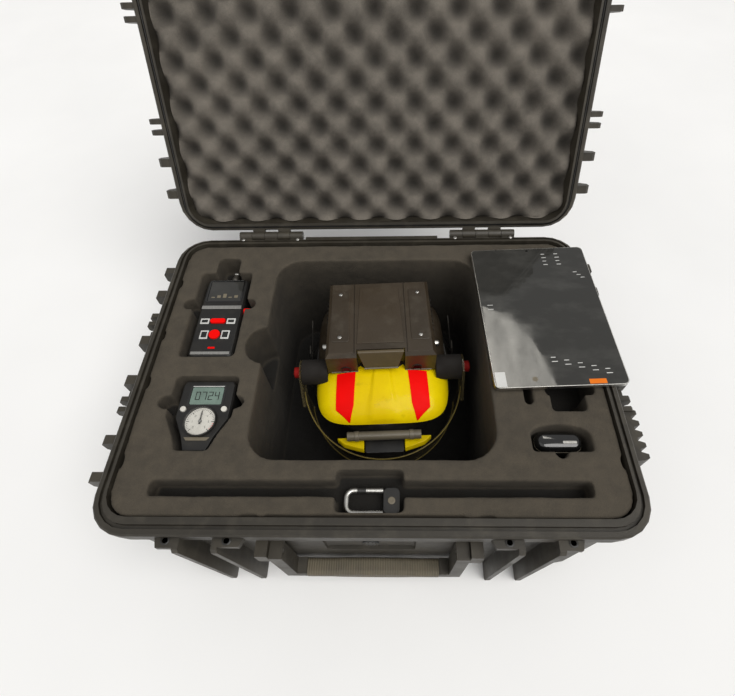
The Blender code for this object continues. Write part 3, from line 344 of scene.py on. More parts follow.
def display(name, colour):
    """Liquid crystal glass: a faint grid, and a tint that drifts across it."""
    look = Look(name, coat=0.6)
    drift = look.noise(40.0, 3.0)
    grid = look.bands(900.0, "Y")
    base = look.mixed(look.scaled(drift, 0.3, 0.7), shade(colour, 0.80), shade(colour, 1.20))
    base = look.mixed(look.scaled(grid, 0.0, 0.3, 0.20, 0.0), base, shade(colour, 0.6))
    look.bump(grid, 0.00002, 0.2)
    return look.done(base, look.scaled(drift, 0.3, 0.7, 0.16, 0.34))


LOOKS = {
    "case_plastic": moulded("case_plastic", (0.0255, 0.0215, 0.0150), 0.50, depth=0.00016),
    "foam": foamed("foam", (0.068, 0.0565, 0.041), 900.0, 3.4, (0, 0, 1), FOAM_SHADE_DEPTHS, FOAM_FLOOR_SHADE),
    "lid_foam": foamed("lid_foam", (0.140, 0.124, 0.104), 700.0, 0, LID_NORMAL, LID_SHADE_DEPTHS),
    "gasket_rubber": moulded("gasket_rubber", (0.016, 0.016, 0.016), 0.72, worn=0.2),
    "skirt_rubber": moulded("skirt_rubber", (0.016, 0.014, 0.012), 0.80, grain=500.0, depth=0.0003),
    "grip_rubber": ribbed("grip_rubber", (0.118, 0.100, 0.067)),
    "pin_steel": brushed("pin_steel", (0.52, 0.51, 0.49), 0.30, (1.0, 12.0, 12.0)),
    "module_plastic": moulded("module_plastic", (0.032, 0.0225, 0.0130), 0.46, grain=800.0),
    "module_cover": moulded("module_cover", (0.072, 0.054, 0.029), 0.42, grain=900.0),
    "yellow_shell": painted("yellow_shell", (0.900, 0.690, 0.002), (0.740, 0.520, 0.001), 0.34, 0.12),
    "red_gloss": painted("red_gloss", (0.960, 0.003, 0.002), (0.820, 0.002, 0.001), 0.48, 0.0),
    "dark_plastic": moulded("dark_plastic", (0.011, 0.0105, 0.010), 0.40, worn=0.35, dusty=0.16),
    "bar_grey": moulded("bar_grey", (0.150, 0.128, 0.090), 0.38, grain=700.0, worn=0.2),
    "clear_sheet": see_through("clear_sheet", (0.30, 0.24, 0.11), 0.16),
    "clear_cover": see_through("clear_cover", (0.60, 0.60, 0.56), 0.05),
    "silver_metal": brushed("silver_metal", (0.60, 0.59, 0.56), 0.28, (12.0, 1.0, 1.0)),
    "screen_glass": glassy("screen_glass", (0.034, 0.0335, 0.031), 0.015),
    "gloss_black": glassy("gloss_black", (0.006, 0.006, 0.006), 0.10, 0.25, 0.8),
    "lcd": display("lcd", (0.150, 0.215, 0.180)),
    "white_plastic": moulded("white_plastic", (0.70, 0.68, 0.62), 0.36, worn=0.0, dusty=0.25),
    "edge_amber": painted("edge_amber", (0.230, 0.180, 0.050), (0.150, 0.110, 0.025), 0.34, 0.1),
    "orange_label": painted("orange_label", (0.900, 0.230, 0.020), (0.760, 0.170, 0.015), 0.45, 0.0),
    "pod_shade": moulded("pod_shade", (0.0065, 0.0042, 0.0026), 0.85, worn=0.10, dusty=0.04),
    "dim_red": painted("dim_red", (0.260, 0.012, 0.010), (0.200, 0.009, 0.008), 0.55, 0.0),
    "ink_white": moulded("ink_white", (0.64, 0.64, 0.62), 0.50, worn=0.0, dusty=0.10),
    "ink_black": moulded("ink_black", (0.010, 0.012, 0.011), 0.60, worn=0.0, dusty=0.05),
    "webbing": moulded("webbing", (0.020, 0.017, 0.014), 0.85, grain=420.0, depth=0.0005, worn=0.1),
}


# ---------------------------------------------------------------- CAD nodes
FINE = {"gas_round_key": 0.0004, "gas_wide_key": 0.0004, "gauge_dial": 0.0002, "gauge_needle": 0.0002,
        "gauge_lens": 0.0002, "gauge_dial_ring": 0.0004, "gauge_display": 0.0003, "gas_screen": 0.0003,
        "gauge_button_left": 0.0005, "gauge_button_right": 0.0005, "tablet_housing": 0.0005,
        "tablet_glass": 0.0003, "tablet_volume_key": 0.0002, "tablet_power_key": 0.0002,
        "remote_strip": 0.0003, "module_lens": 0.0006, "lid_gasket": 0.0007, "helmet_visor": 0.0006,
        "module_housing": 0.0016, "module_nose": 0.0014, "gas_housing": 0.0012, "gauge_housing": 0.0014,
        "front_handle_grip": 0.0016, "front_handle_frame": 0.0013, "helmet_rim_band": 0.0009}
DEFAULT_BEVEL = 0.0010
WELD = 1e-5
WHOLE_RINGS = ("lid_gasket",)                   # faces that go right round must not be merged into one
SPECIAL = {"side_pod_left": "pod_shade", "side_pod_right": "pod_shade", "gauge_lens": "clear_cover",
           "visor_knob_left": "dim_red", "visor_knob_right": "dim_red"}


def dress(node, look):
    """Material, softened edges and even shading for a CAD node; its mesh is left as it is."""
    made = NODES[node]
    made.data.materials.clear()
    made.data.materials.append(LOOKS[look])
    made.modifiers.new("weld", "WELD").merge_threshold = WELD
    if node not in WHOLE_RINGS:
        merge = made.modifiers.new("merge", "DECIMATE")
        merge.decimate_type = "DISSOLVE"
        merge.angle_limit = radians(0.1)
    soften(made, FINE.get(node, DEFAULT_BEVEL))


def soften(made, width):
    edge = made.modifiers.new("edge", "BEVEL")
    edge.width = width
    edge.segments = 2
    edge.limit_method = "ANGLE"
    edge.angle_limit = radians(32)
    edge.use_clamp_overlap = True
    even = made.modifiers.new("even", "WEIGHTED_NORMAL")
    even.weight = 60


# ---------------------------------------------------------------- shapes
# plate, turned, tube, prism, lofted and hoop each give back a function that draws the shape into a mesh.
def outline(x0, x1, y0, y1, radius, steps=4):
    """A rectangle with round corners."""
    points = []
    for cx, cy, start in ((x1 - radius, y0 + radius, -90), (x1 - radius, y1 - radius, 0),
                          (x0 + radius, y1 - radius, 90), (x0 + radius, y0 + radius, 180)):
        for i in range(steps + 1):
            turn = radians(start + 90 * i / steps)
            points.append((cx + radius * cos(turn), cy + radius * sin(turn)))
    return points


def around(low, high, margin, radius, steps=4):
    """The outline of a box seen from above, with a margin round it."""
    return outline(low.x - margin, high.x + margin, low.y - margin, high.y + margin, radius, steps)


def at(points, z):
    return [(x, y, z) for x, y in points]


def walls(mesh, first, second):
    """Faces that join two loops of as many points."""
    for i in range(len(first)):
        j = (i + 1) % len(first)
        mesh.faces.new((first[i], first[j], second[j], second[i]))


def loft(mesh, rings, close=False):
    rows = [[mesh.verts.new(point) for point in ring] for ring in rings]
    for low, high in zip(rows, rows[1:]):
        walls(mesh, low, high)
    if close:
        walls(mesh, rows[-1], rows[0])
    else:
        mesh.faces.new(list(reversed(rows[0])))
        mesh.faces.new(rows[-1])


def lofted(rings):
    return lambda mesh: loft(mesh, rings)


def hoop(outer, inner, z0, z1):
    """A flat ring between two outlines."""
    return lambda mesh: loft(mesh, [at(outer, z0), at(outer, z1), at(inner, z1), at(inner, z0)], close=True)


def prism(x0, x1, section):
    """A section in Y and Z, drawn out along X."""
    return lofted([[(x, y, z) for y, z in section] for x in (x0, x1)])


def plate(x0, x1, y0, y1, z0, z1, radius=0.0008, steps=4):
    """A thin slab whose upper edge is rounded over."""
    lip = min(0.35 * (z1 - z0), 0.45 * radius)
    foot = outline(x0, x1, y0, y1, radius, steps)
    rim = outline(x0 + lip, x1 - lip, y0 + lip, y1 - lip, radius - lip, steps)
    return lofted([at(foot, z0), at(foot, z1 - lip), at(rim, z1)])


def turned(start, axis, profile, count=24):
    """A lathe shape: (distance along the axis, radius) pairs round a line."""
    axis = Vector(axis).normalized()
    side = axis.orthogonal().normalized()
    up = axis.cross(side)
    turns = [2 * pi * i / count for i in range(count)]
    rings = []
    for along, radius in profile:
        middle = Vector(start) + along * axis
        rings.append([middle + radius * (cos(turn) * side + sin(turn) * up) for turn in turns])
    return lofted(rings)


def tube(path, radius, count):
    """A round bar along a path."""
    turns = [2 * pi * i / count for i in range(count)]
    rings = []
    for i, point in enumerate(path):
        before, after = Vector(path[max(i - 1, 0)]), Vector(path[min(i + 1, len(path) - 1)])
        along = (after - before).normalized()
        side = Vector((along.y, -along.x, 0.0))
        side = side.normalized() if side.length > 1e-4 else Vector((1.0, 0.0, 0.0))
        up = side.cross(along)
        rings.append([Vector(point) + radius * (cos(turn) * side + sin(turn) * up) for turn in turns])
    return lofted(rings)


def woven(mesh, grid):
    """Faces over a grid of points; gives back the loop of points round its edge."""
    for near, far in zip(grid, grid[1:]):
        for i in range(len(near) - 1):
            mesh.faces.new((near[i], far[i], far[i + 1], near[i + 1]))
    edge = grid[0][:-1] + [line[-1] for line in grid[:-1]] + list(reversed(grid[-1][1:]))
    return edge + [line[0] for line in reversed(grid[1:])]


def drawn(name, build):
    """A mesh from a function that draws it, with its faces turned outwards."""
    mesh = bmesh.new()
    build(mesh)
    bmesh.ops.recalc_face_normals(mesh, faces=mesh.faces)
    data = bpy.data.meshes.new(name)
    mesh.to_mesh(data)
    mesh.free()
    return data


def linked(name, data):
    made = bpy.data.objects.new(name, data)
    bpy.context.scene.collection.objects.link(made)
    return made


def piece(name, body, look, build, place=HERE, bevel=0.0, smooth=38):
    """A visible piece: its mesh from a function, put in place, dressed, and riding on a CAD body."""
    data = drawn(name, build)
    data.transform(place)
    made = linked(name, data)
    data.materials.append(LOOKS[look])
    data.shade_smooth()
    data.set_sharp_from_angle(angle=radians(smooth))
    if bevel:
        soften(made, bevel)
    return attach(made, body)


# ---------------------------------------------------------------- case
RIB_ROWS = (-0.150, -0.090, 0.090, 0.150)
RIB_HALF, RIB_HALF_WIDTH, RIB_LIFT = 0.235, 0.006, 0.0022
PANEL_HALF, PANEL_HALF_HEIGHT, PANEL_LIFT = 0.110, 0.045, 0.0014
LID_TRIM_SINK = 0.001
BACK_RIBS = (-0.235, -0.080, 0.0, 0.080, 0.235)
BACK_RIB_LOW, BACK_RIB_HIGH = 0.016, 0.190
EYELETS, EYELET_Y, EYELET_Z = (0.1550, 0.2235), -0.2335, 0.2083
EYELET = ((0.0, 0.0050), (0.0006, 0.0052), (0.0010, 0.0046), (0.0010, 0.0036), (0.0, 0.0034))
HINGE_SCREWS, HINGE_SCREW_BACK, HINGE_SCREW_UP = (0.128, 0.217), -0.0100, 0.0012
HINGE_SCREW = ((0.0, 0.0030), (0.0009, 0.0030), (0.0014, 0.0024), (0.0015, 0.0012), (0.0008, 0.0010))
HANDLE_CAP_X = 0.1319
HANDLE_CAP = ((0.0, 0.0058), (0.0012, 0.0058), (0.0020, 0.0044), (0.0021, 0.0010))
NOTCHES, NOTCH_RING = 10, 0.0082
NOTCH = ((0.0, 0.0013), (0.0008, 0.0012), (0.0011, 0.0007))


def egg_crate(mesh):
    """Convoluted foam: a waved face, straight sides and a flat back."""
    columns, rows = 180, 130
    grid = []
    for j in range(rows + 1):
        across = -LID_FOAM_D / 2 + LID_FOAM_D * j / rows
        past = max(abs(across) - (LID_FOAM_D / 2 - LID_FOAM_R), 0.0)
        half = LID_FOAM_W / 2 - LID_FOAM_R + sqrt(max(LID_FOAM_R ** 2 - past ** 2, 0.0))
        y = across + LID_FOAM_CY
        line = []
        for i in range(columns + 1):
            x = -half + 2 * half * i / columns
            pit = 0.5 + 0.5 * cos(pi * (x - EGG_X) / EGG_PITCH) * cos(pi * (y - EGG_Y) / EGG_PITCH)
            ragged = 0.0007 * noise.noise((x * 90, y * 90, 3.0)) + 0.0014 * noise.noise((x * 14, y * 14, 7.0))
            line.append(mesh.verts.new((x, y, LID_FACE + EGG_CREST + EGG_DEPTH * pit ** 1.15 + ragged)))
        grid.append(line)
    edge = woven(mesh, grid)
    back = []
    for point in edge:
        x, y = point.co.x * 0.985, (point.co.y - LID_FOAM_CY) * 0.98 + LID_FOAM_CY
        back.append(mesh.verts.new((x, y, LID_BACK)))
    walls(mesh, edge, back)
    mesh.faces.new(back)


def cut_foam():
    """The insert with soft, slightly uneven knife-cut edges, from the CAD node's own shape."""
    made = linked("foam_soft", NODES["foam_insert"].data.copy())
    made.modifiers.new("weld", "WELD").merge_threshold = WELD
    cut = made.modifiers.new("cut", "REMESH")
    cut.mode = "VOXEL"
    cut.voxel_size = FOAM_VOXEL
    cut.use_smooth_shade = True
    relax = made.modifiers.new("relax", "SMOOTH")
    relax.factor = 0.5
    relax.iterations = 2
    seen = made.evaluated_get(bpy.context.evaluated_depsgraph_get())
    soft = bpy.data.meshes.new_from_object(seen)
    made.modifiers.clear()
    made.data = soft
    moved = []
    for vertex in soft.vertices:
        spot = vertex.co * 26.0
        drift = 0.0006 * noise.noise(spot) + 0.0003 * noise.noise(spot * 5.0)
        moved.extend(vertex.co + vertex.normal * (drift - SINK))
    soft.vertices.foreach_set("co", moved)
    soft.update()
    soft.shade_smooth()
    soft.materials.clear()
    soft.materials.append(LOOKS["foam"])
    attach(made, "case_base")
    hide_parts("foam_insert")


def make_foam():
    waves = piece("lid_foam_waves", "lid", "lid_foam", egg_crate, LID, smooth=80)
    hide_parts("lid_foam")
    cut_foam()


def make_ribs():
    foot = LID_OUT - LID_TRIM_SINK
    for index, y in enumerate(RIB_ROWS):
        y0, y1 = y - RIB_HALF_WIDTH, y + RIB_HALF_WIDTH
        rib = plate(-RIB_HALF, RIB_HALF, y0, y1, foot, LID_OUT + RIB_LIFT, 0.0058, 6)
        piece(f"lid_rib_{index}", "lid", "case_plastic", rib, LID, 0.0005)
    panel = plate(-PANEL_HALF, PANEL_HALF, -PANEL_HALF_HEIGHT, PANEL_HALF_HEIGHT,
                  foot, LID_OUT + PANEL_LIFT, 0.008, 6)
    piece("lid_blank_panel", "lid", "case_plastic", panel, LID, 0.0005)
    wall = RIM_D / 2 - 0.0085
    for index, x in enumerate(BACK_RIBS):
        low = outline(x - 0.005, x + 0.005, wall - 0.012, wall - 0.0045, 0.002, 3)
        high = outline(x - 0.004, x + 0.004, wall - 0.010, wall + 0.0015, 0.002, 3)
        rib = lofted([at(low, BACK_RIB_LOW), at(high, BACK_RIB_HIGH)])
        piece(f"back_rib_{index}", "case_base", "case_plastic", rib, HERE, 0.0006)


def make_case_fittings():
    for side, sign in SIDES:
        for index, x in enumerate(EYELETS):
            eyelet = turned((sign * x, EYELET_Y, EYELET_Z), (0, 0, 1), EYELET, 28)
            piece(f"padlock_eyelet_{side}_{index}", "case_base", "dark_plastic", eyelet)
        for index, x in enumerate(HINGE_SCREWS):
            spot = (sign * x, HINGE.y + HINGE_SCREW_BACK, HINGE.z + HINGE_SCREW_UP)
            screw = turned(spot, (0, 0, 1), HINGE_SCREW, 22)
            piece(f"hinge_screw_{side}_{index}", "case_base", "pin_steel", screw)
        pin = centre("front_handle_pin_" + side)
        cap = turned((sign * HANDLE_CAP_X, pin.y, pin.z), (sign, 0, 0), HANDLE_CAP)
        piece("handle_cap_" + side, "case_base", "case_plastic", cap)
    valve = centre("pressure_valve")
    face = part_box("pressure_valve")[0].y + SINK
    for index in range(NOTCHES):
        turn = 2 * pi * index / NOTCHES
        spot = (valve.x + NOTCH_RING * cos(turn), face, valve.z + NOTCH_RING * sin(turn))
        piece(f"valve_notch_{index}", "case_base", "case_plastic", turned(spot, (0, -1, 0), NOTCH, 12))


# ---------------------------------------------------------------- helmet
STRIPE_INSIDE = ((0.0385, -0.0215), (0.0420, -0.0700), (0.0480, -0.0902))
STRIPE_OUTSIDE = ((0.0665, -0.0215), (0.0680, -0.0750), (0.0500, -0.0902))
STRIPE_LIFT, STRIPE_SINK = 0.0012, -0.0006
SHELL_SPLIT_Y = -0.014                          # the shell is dark behind this
STUD_SPOT = (0.0788, 0.010, 0.180)
STUD = ((0.0, 0.0050), (0.0050, 0.0050), (0.0066, 0.0040), (0.0072, 0.0016))
POD_X = 0.1184
POD_FACE = ((0.0, 0.0150), (0.0003, 0.0150), (0.0004, 0.0120))
KNOB_X0, KNOB_X1, RIDGE_STEP, RIDGE_HALF = 0.1305, 0.1318, 0.0038, 0.0058
MODULE_SCREW_X, MODULE_SCREWS = 0.0585, (0.012, 0.092)
MODULE_SCREW = ((0.0, 0.0030), (0.0008, 0.0029), (0.0012, 0.0022), (0.0013, 0.0012), (0.0005, 0.0010))
VENTS, VENT_X, VENT_Y, VENT_STEP, VENT_WIDTH = 7, (0.0786, 0.0796), 0.030, 0.009, 0.0035
VENT_LOW, VENT_HIGH = 0.166, 0.188
SIDE_PANEL_X, SIDE_PANEL_Y = (0.0445, 0.0720), (0.004, 0.100)
PANEL_SINK, PANEL_RISE = 0.0006, 0.0010
TOP_PANEL, TOP_PANEL_RISE = ((-0.034, 0.000), (0.034, 0.000), (0.029, 0.104), (-0.029, 0.104)), 0.0012
FOOT_X = (0.0345, 0.0740)
FOOT = ((-0.0212, 0.1562), (-0.0196, 0.1562), (-0.0196, 0.1588), (-0.0212, 0.1580))
NOSE_BAR_X = (-0.0245, -0.020, 0.0, 0.020, 0.0245)
NOSE_BAR_Y, NOSE_BAR_Z, NOSE_BAR_R = -0.0238, 0.1712, 0.0014
LENS_X, LENS_Y, LENS_Z = 0.052, -0.0186, 0.163
LENS_RING = ((0.0, 0.0082), (0.0018, 0.0080), (0.0024, 0.0070), (0.0014, 0.0062))
LENS = ((0.0, 0.0060), (0.0006, 0.0056), (0.0012, 0.0030))


def dome_height(x, y):
    """The helmet dome's surface, helmet axes."""
    reach = (abs(x) / DOME_A) ** DOME_PLAN + (abs(y - DOME_CY) / DOME_B) ** DOME_PLAN
    reach = reach ** (1 / DOME_PLAN)
    return DOME_Z0 + DOME_C * max(1 - reach ** DOME_ROUND, 0.0) ** (1 / DOME_ROUND)


def crease(x, y):
    """A raised centre panel that widens towards the brow."""
    half = 0.0115 + 0.009 * min(max((-0.02 - y) / 0.065, 0.0), 1.0)
    step = min(max((half - abs(x)) / 0.0022 + 0.5, 0.0), 1.0)
    return 0.0030 * step * step * (3 - 2 * step)


def dome_ring(grow, rise, turns=144):
    a, b = DOME_A + grow, DOME_B + grow
    width = (1 - max(rise, 0.0) ** DOME_ROUND) ** (1 / DOME_ROUND)
    ring = []
    for i in range(turns):
        turn = 2 * pi * i / turns
        reach = (abs(cos(turn)) ** DOME_PLAN + abs(sin(turn)) ** DOME_PLAN) ** (-1 / DOME_PLAN)
        x = a * width * reach * cos(turn)
        y = DOME_CY + b * width * reach * sin(turn)
        raised = crease(x, y) if rise > 0.30 and y < DOME_CY else 0.0
        ring.append((x, y, DOME_Z0 + (DOME_C + grow) * rise + raised))
    return ring


def shell(mesh):
    steps = 22
    outer, inner = [], []
    for rings, grow in ((outer, 0.0), (inner, -DOME_T)):
        first = (DOME_LOW - DOME_Z0) / (DOME_C + grow)
        for i in range(steps + 1):
            rings.append(dome_ring(grow, first + (0.985 - first) * sin(pi / 2 * i / steps)))
    loft(mesh, list(reversed(inner)) + outer)


def bent(points, share):
    """The point at a share of the way along three points."""
    first = min(int(share * 2), 1)
    part = share * 2 - first
    (x0, y0), (x1, y1) = points[first], points[first + 1]
    return x0 + (x1 - x0) * part, y0 + (y1 - y0) * part


def stripe(sign):
    """A pointed red band that lies on the dome."""
    def build(mesh):
        rows, columns = 30, 12
        edges = []
        for lift in (STRIPE_LIFT, STRIPE_SINK):
            grid = []
            for i in range(rows + 1):
                (x0, y0), (x1, y1) = bent(STRIPE_INSIDE, i / rows), bent(STRIPE_OUTSIDE, i / rows)
                line = []
                for j in range(columns + 1):
                    x, y = x0 + (x1 - x0) * j / columns, y0 + (y1 - y0) * j / columns
                    line.append(mesh.verts.new((sign * x, y, dome_height(x, y) + lift)))
                grid.append(line)
            edges.append(woven(mesh, grid))
        walls(mesh, *edges)
    return build


def knob_ridges(sign):
    def build(mesh):
        for k in (-1, 0, 1):
            z = VISOR_PIVOT_Z + k * RIDGE_STEP
            y0, y1 = VISOR_PIVOT_Y - RIDGE_HALF, VISOR_PIVOT_Y + RIDGE_HALF
            section = ((y0, z - 0.0007), (y1, z - 0.0007), (y1, z + 0.0007), (y0, z + 0.0007))
            prism(sign * KNOB_X0, sign * KNOB_X1, section)(mesh)
    return build


def strap(sign):
    """A webbing strap that hangs from the pod, round the rim and back up."""
    rings = []
    for i in range(22):
        t = i / 21
        x = sign * (0.109 + 0.010 * sin(pi * t))
        y = 0.020 + 0.052 * t
        z = 0.150 - 0.075 * sin(pi * t) - 0.004 * t
        near, far = x - sign * 0.0008, x + sign * 0.0008
        rings.append([(near, y, z), (far, y, z), (far, y + 0.012, z + 0.004), (near, y + 0.012, z + 0.004)])
    return lofted(rings)


def visor_edge(a, b, z):
    """A slim bead along an edge of the visor."""
    turns = [pi * (1.055 + 0.89 * i / 71) for i in range(72)]
    return tube([(a * cos(turn), b * sin(turn), z) for turn in turns], 0.0008, 8)


def make_helmet_shell():
    dome = piece("helmet_dome", "helmet", "yellow_shell", shell, HELMET, smooth=50)
    dome.data.materials.append(LOOKS["module_plastic"])
    back = HELMET.inverted()
    for face in dome.data.polygons:
        spot = back @ face.center
        face.material_index = int(spot.y > SHELL_SPLIT_Y or spot.z < DOME_LOW + 0.0005)
    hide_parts("helmet_shell")


def make_helmet_side(side, sign):
    outwards = (sign, 0, 0)
    band = piece("stripe_band_" + side, "helmet", "red_gloss", stripe(sign), HELMET, smooth=60)
    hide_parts("stripe_" + side)
    stud = turned((sign * STUD_SPOT[0], *STUD_SPOT[1:]), outwards, STUD, 26)
    piece("module_stud_" + side, "helmet", "silver_metal", stud, HELMET)
    face = turned((sign * POD_X, VISOR_PIVOT_Y, VISOR_PIVOT_Z), outwards, POD_FACE, 32)
    piece("pod_face_" + side, "helmet", "module_cover", face, HELMET)
    piece("knob_ridges_" + side, "visor", "dim_red", knob_ridges(sign), HELMET, 0.0003)
    piece("chin_strap_" + side, "helmet", "webbing", strap(sign), HELMET, 0.0004)
    x0, x1 = sorted(sign * x for x in SIDE_PANEL_X)
    panel = plate(x0, x1, *SIDE_PANEL_Y, MODULE_TOP - PANEL_SINK, MODULE_TOP + PANEL_RISE, 0.004, 5)
    piece("module_panel_" + side, "helmet", "module_plastic", panel, HELMET, 0.0004)
    foot = prism(*sorted(sign * x for x in FOOT_X), FOOT)
    piece("module_foot_" + side, "helmet", "module_cover", foot, HELMET, 0.0004)
    for index, y in enumerate(MODULE_SCREWS):
        screw = turned((sign * MODULE_SCREW_X, y, MODULE_TOP + 0.0008), (0, 0, 1), MODULE_SCREW, 20)
        piece(f"module_screw_{side}_{index}", "helmet", "pin_steel", screw, HELMET)
    for index in range(VENTS):
        y0 = VENT_Y + VENT_STEP * index
        y1 = y0 + VENT_WIDTH
        section = ((y0, VENT_LOW), (y1, VENT_LOW), (y1, VENT_HIGH), (y0, VENT_HIGH))
        vent = prism(*sorted(sign * x for x in VENT_X), section)
        piece(f"module_vent_{side}_{index}", "helmet", "dark_plastic", vent, HELMET, 0.0003)


def make_helmet_front():
    panel = lofted([at(TOP_PANEL, MODULE_TOP - PANEL_SINK), at(TOP_PANEL, MODULE_TOP + TOP_PANEL_RISE)])
    piece("module_top_panel", "helmet", "module_plastic", panel, HELMET, 0.0006)
    bar = tube([(x, NOSE_BAR_Y, NOSE_BAR_Z) for x in NOSE_BAR_X], NOSE_BAR_R, 12)
    piece("module_nose_bar", "helmet", "bar_grey", bar, HELMET)
    for side, sign in SIDES:
        ring = turned((sign * LENS_X, LENS_Y, LENS_Z), (0, -1, 0), LENS_RING, 30)
        piece("module_lens_ring_" + side, "helmet", "dark_plastic", ring, HELMET)
    lens = turned((LENS_X, LENS_Y - SINK, LENS_Z), (0, -1, 0), LENS, 26)
    piece("module_lens_right", "helmet", "gloss_black", lens, HELMET)
    piece("visor_edge_low", "visor", "edge_amber", visor_edge(0.1170, 0.1320, 0.0540), HELMET)
    piece("visor_edge_high", "visor", "edge_amber", visor_edge(0.1230, 0.1380, 0.1080), HELMET)


# ---------------------------------------------------------------- instruments
SIDE_EYE = ((0.0, 0.0050), (0.0085, 0.0050), (0.0112, 0.0036), (0.0120, 0.0012))
NOZZLE = ((0.0, 0.0058), (0.006, 0.0058), (0.0075, 0.0048), (0.0125, 0.0046), (0.0135, 0.0056),
          (0.0160, 0.0052), (0.0170, 0.0036))
KEY_COLLAR = ((0.0, 0.0106), (0.0008, 0.0104), (0.0010, 0.0096), (0.0002, 0.0088))
PADS = (("high", 0.0130, 0.0260, -0.0150, -0.0050), ("low", 0.0095, 0.0215, -0.0420, -0.0270))
PAD_MARGIN, PAD_MARGIN_Y = 0.002, 0.0025
STRIPS = (("strip_top", "silver_metal", -0.030, 0.030, 0.0135, 0.0195),
          ("strip_foot", "silver_metal", -0.028, 0.028, -0.0690, -0.0640),
          ("screen_line", "ink_white", -0.0245, 0.0245, 0.0690, 0.0702),
          ("mark", "red_gloss", -0.0050, 0.0050, -0.0590, -0.0560))
SCREEN_TO_MIDDLE = 0.0485                       # from the middle of the screen to the middle of the face
READOUTS, READOUT_STEP, READOUT_WIDTH = 5, 0.0088, 0.0055
STRIP_LIFT, CORE_LIFT = 0.0005, 0.0009
NEEDLE_CAP = ((0.0, 0.0020), (0.0004, 0.0018), (0.0006, 0.0008))
TICKS, NUMBERS, RED_FROM = 31, 7, 25
TICK_OUT, TICK_IN, LONG_TICK_IN, NUMBER_RING = 0.92, 0.82, 0.74, 0.56     # shares of the dial's radius
FIGURES = {"0": "abcdef", "1": "bc", "2": "abged", "3": "abgcd", "4": "fgbc", "5": "afgcd", "6": "afgedc",
           "7": "abc"}
READING = "0724"


def make_gas_detector():
    low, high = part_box("gas_screen")
    x, z = centre("gas_housing").x, top("gas_housing")
    y = (low.y + high.y) / 2 - SCREEN_TO_MIDDLE

    def strip(name, look, x0, x1, y0, y1, lift=STRIP_LIFT):
        bar = plate(x + x0, x + x1, y + y0, y + y1, z - SINK, z + lift, 0.0006)
        piece("gas_" + name, "gas_detector", look, bar)

    for row in STRIPS:
        strip(*row)
    for side, sign in SIDES:
        for row, near, far, y0, y1 in PADS:
            x0, x1 = sorted((sign * near, sign * far))
            strip(f"pad_{row}_{side}", "ink_white", x0, x1, y0, y1)
            strip(f"pad_core_{row}_{side}", "ink_black", x0 + PAD_MARGIN, x1 - PAD_MARGIN,
                  y0 + PAD_MARGIN_Y, y1 - PAD_MARGIN_Y, CORE_LIFT)
    eye = turned((x + 0.0325, y + 0.0145, z - 0.0085), (1, 0, 0), SIDE_EYE, 28)
    piece("gas_side_eye", "gas_detector", "red_gloss", eye)
    inlet = centre("gas_inlet")
    nozzle = turned((inlet.x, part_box("gas_inlet")[0].y + 0.002, inlet.z), (0, 1, 0), NOZZLE, 28)
    piece("gas_nozzle", "gas_detector", "silver_metal", nozzle)
    bezel = hoop(around(low, high, 0.0022, 0.0028), around(low, high, 0.0004, 0.0020), z - SINK, z + 0.0005)
    piece("gas_bezel", "gas_detector", "gloss_black", bezel)
    collar = turned((x, y - 0.0345, z - 0.0004), (0, 0, 1), KEY_COLLAR, 36)
    piece("gas_key_collar", "gas_detector", "ink_black", collar)
    for index in range(READOUTS):
        x0, y0 = low.x + 0.005 + READOUT_STEP * index, low.y + 0.006
        y1 = y0 + 0.002 + 0.003 * (index % 3)
        bar = plate(x0, x0 + READOUT_WIDTH, y0, y1, high.z - 0.0001, high.z + 0.0001, 0.0004, 2)
        piece(f"gas_readout_{index}", "gas_detector", "bar_grey", bar)


def digit(x, y, height, z, marks):
    """A seven-segment figure: marks holds which of the segments are drawn."""
    w, t = height * 0.52, height * 0.11
    middle = height / 2
    spots = {"a": (0, w, height - t, height), "d": (0, w, 0, t), "g": (0, w, middle - t / 2, middle + t / 2),
             "f": (0, t, middle, height), "b": (w - t, w, middle, height),
             "e": (0, t, 0, middle), "c": (w - t, w, 0, middle)}
    inset = t * 0.12

    def build(mesh):
        for mark in marks:
            x0, x1, y0, y1 = spots[mark]
            plate(x + x0 + inset, x + x1 - inset, y + y0 + inset, y + y1 - inset,
                  z, z + 0.00025, t * 0.2, 2)(mesh)
    return build


def tick(dial, face, radius, turn, long):
    inner, outer = radius * (LONG_TICK_IN if long else TICK_IN), radius * TICK_OUT
    half = 0.00036 if long else 0.0002
    along, across = Vector((cos(turn), sin(turn), 0.0)), Vector((-sin(turn), cos(turn), 0.0))
    corners = [dial + along * r + across * s for r, s in
               ((inner, -half), (outer, -half), (outer, half), (inner, half))]
    return lofted([[(p.x, p.y, h) for p in corners] for h in (face - PRINT_SINK, face + 0.0002)])


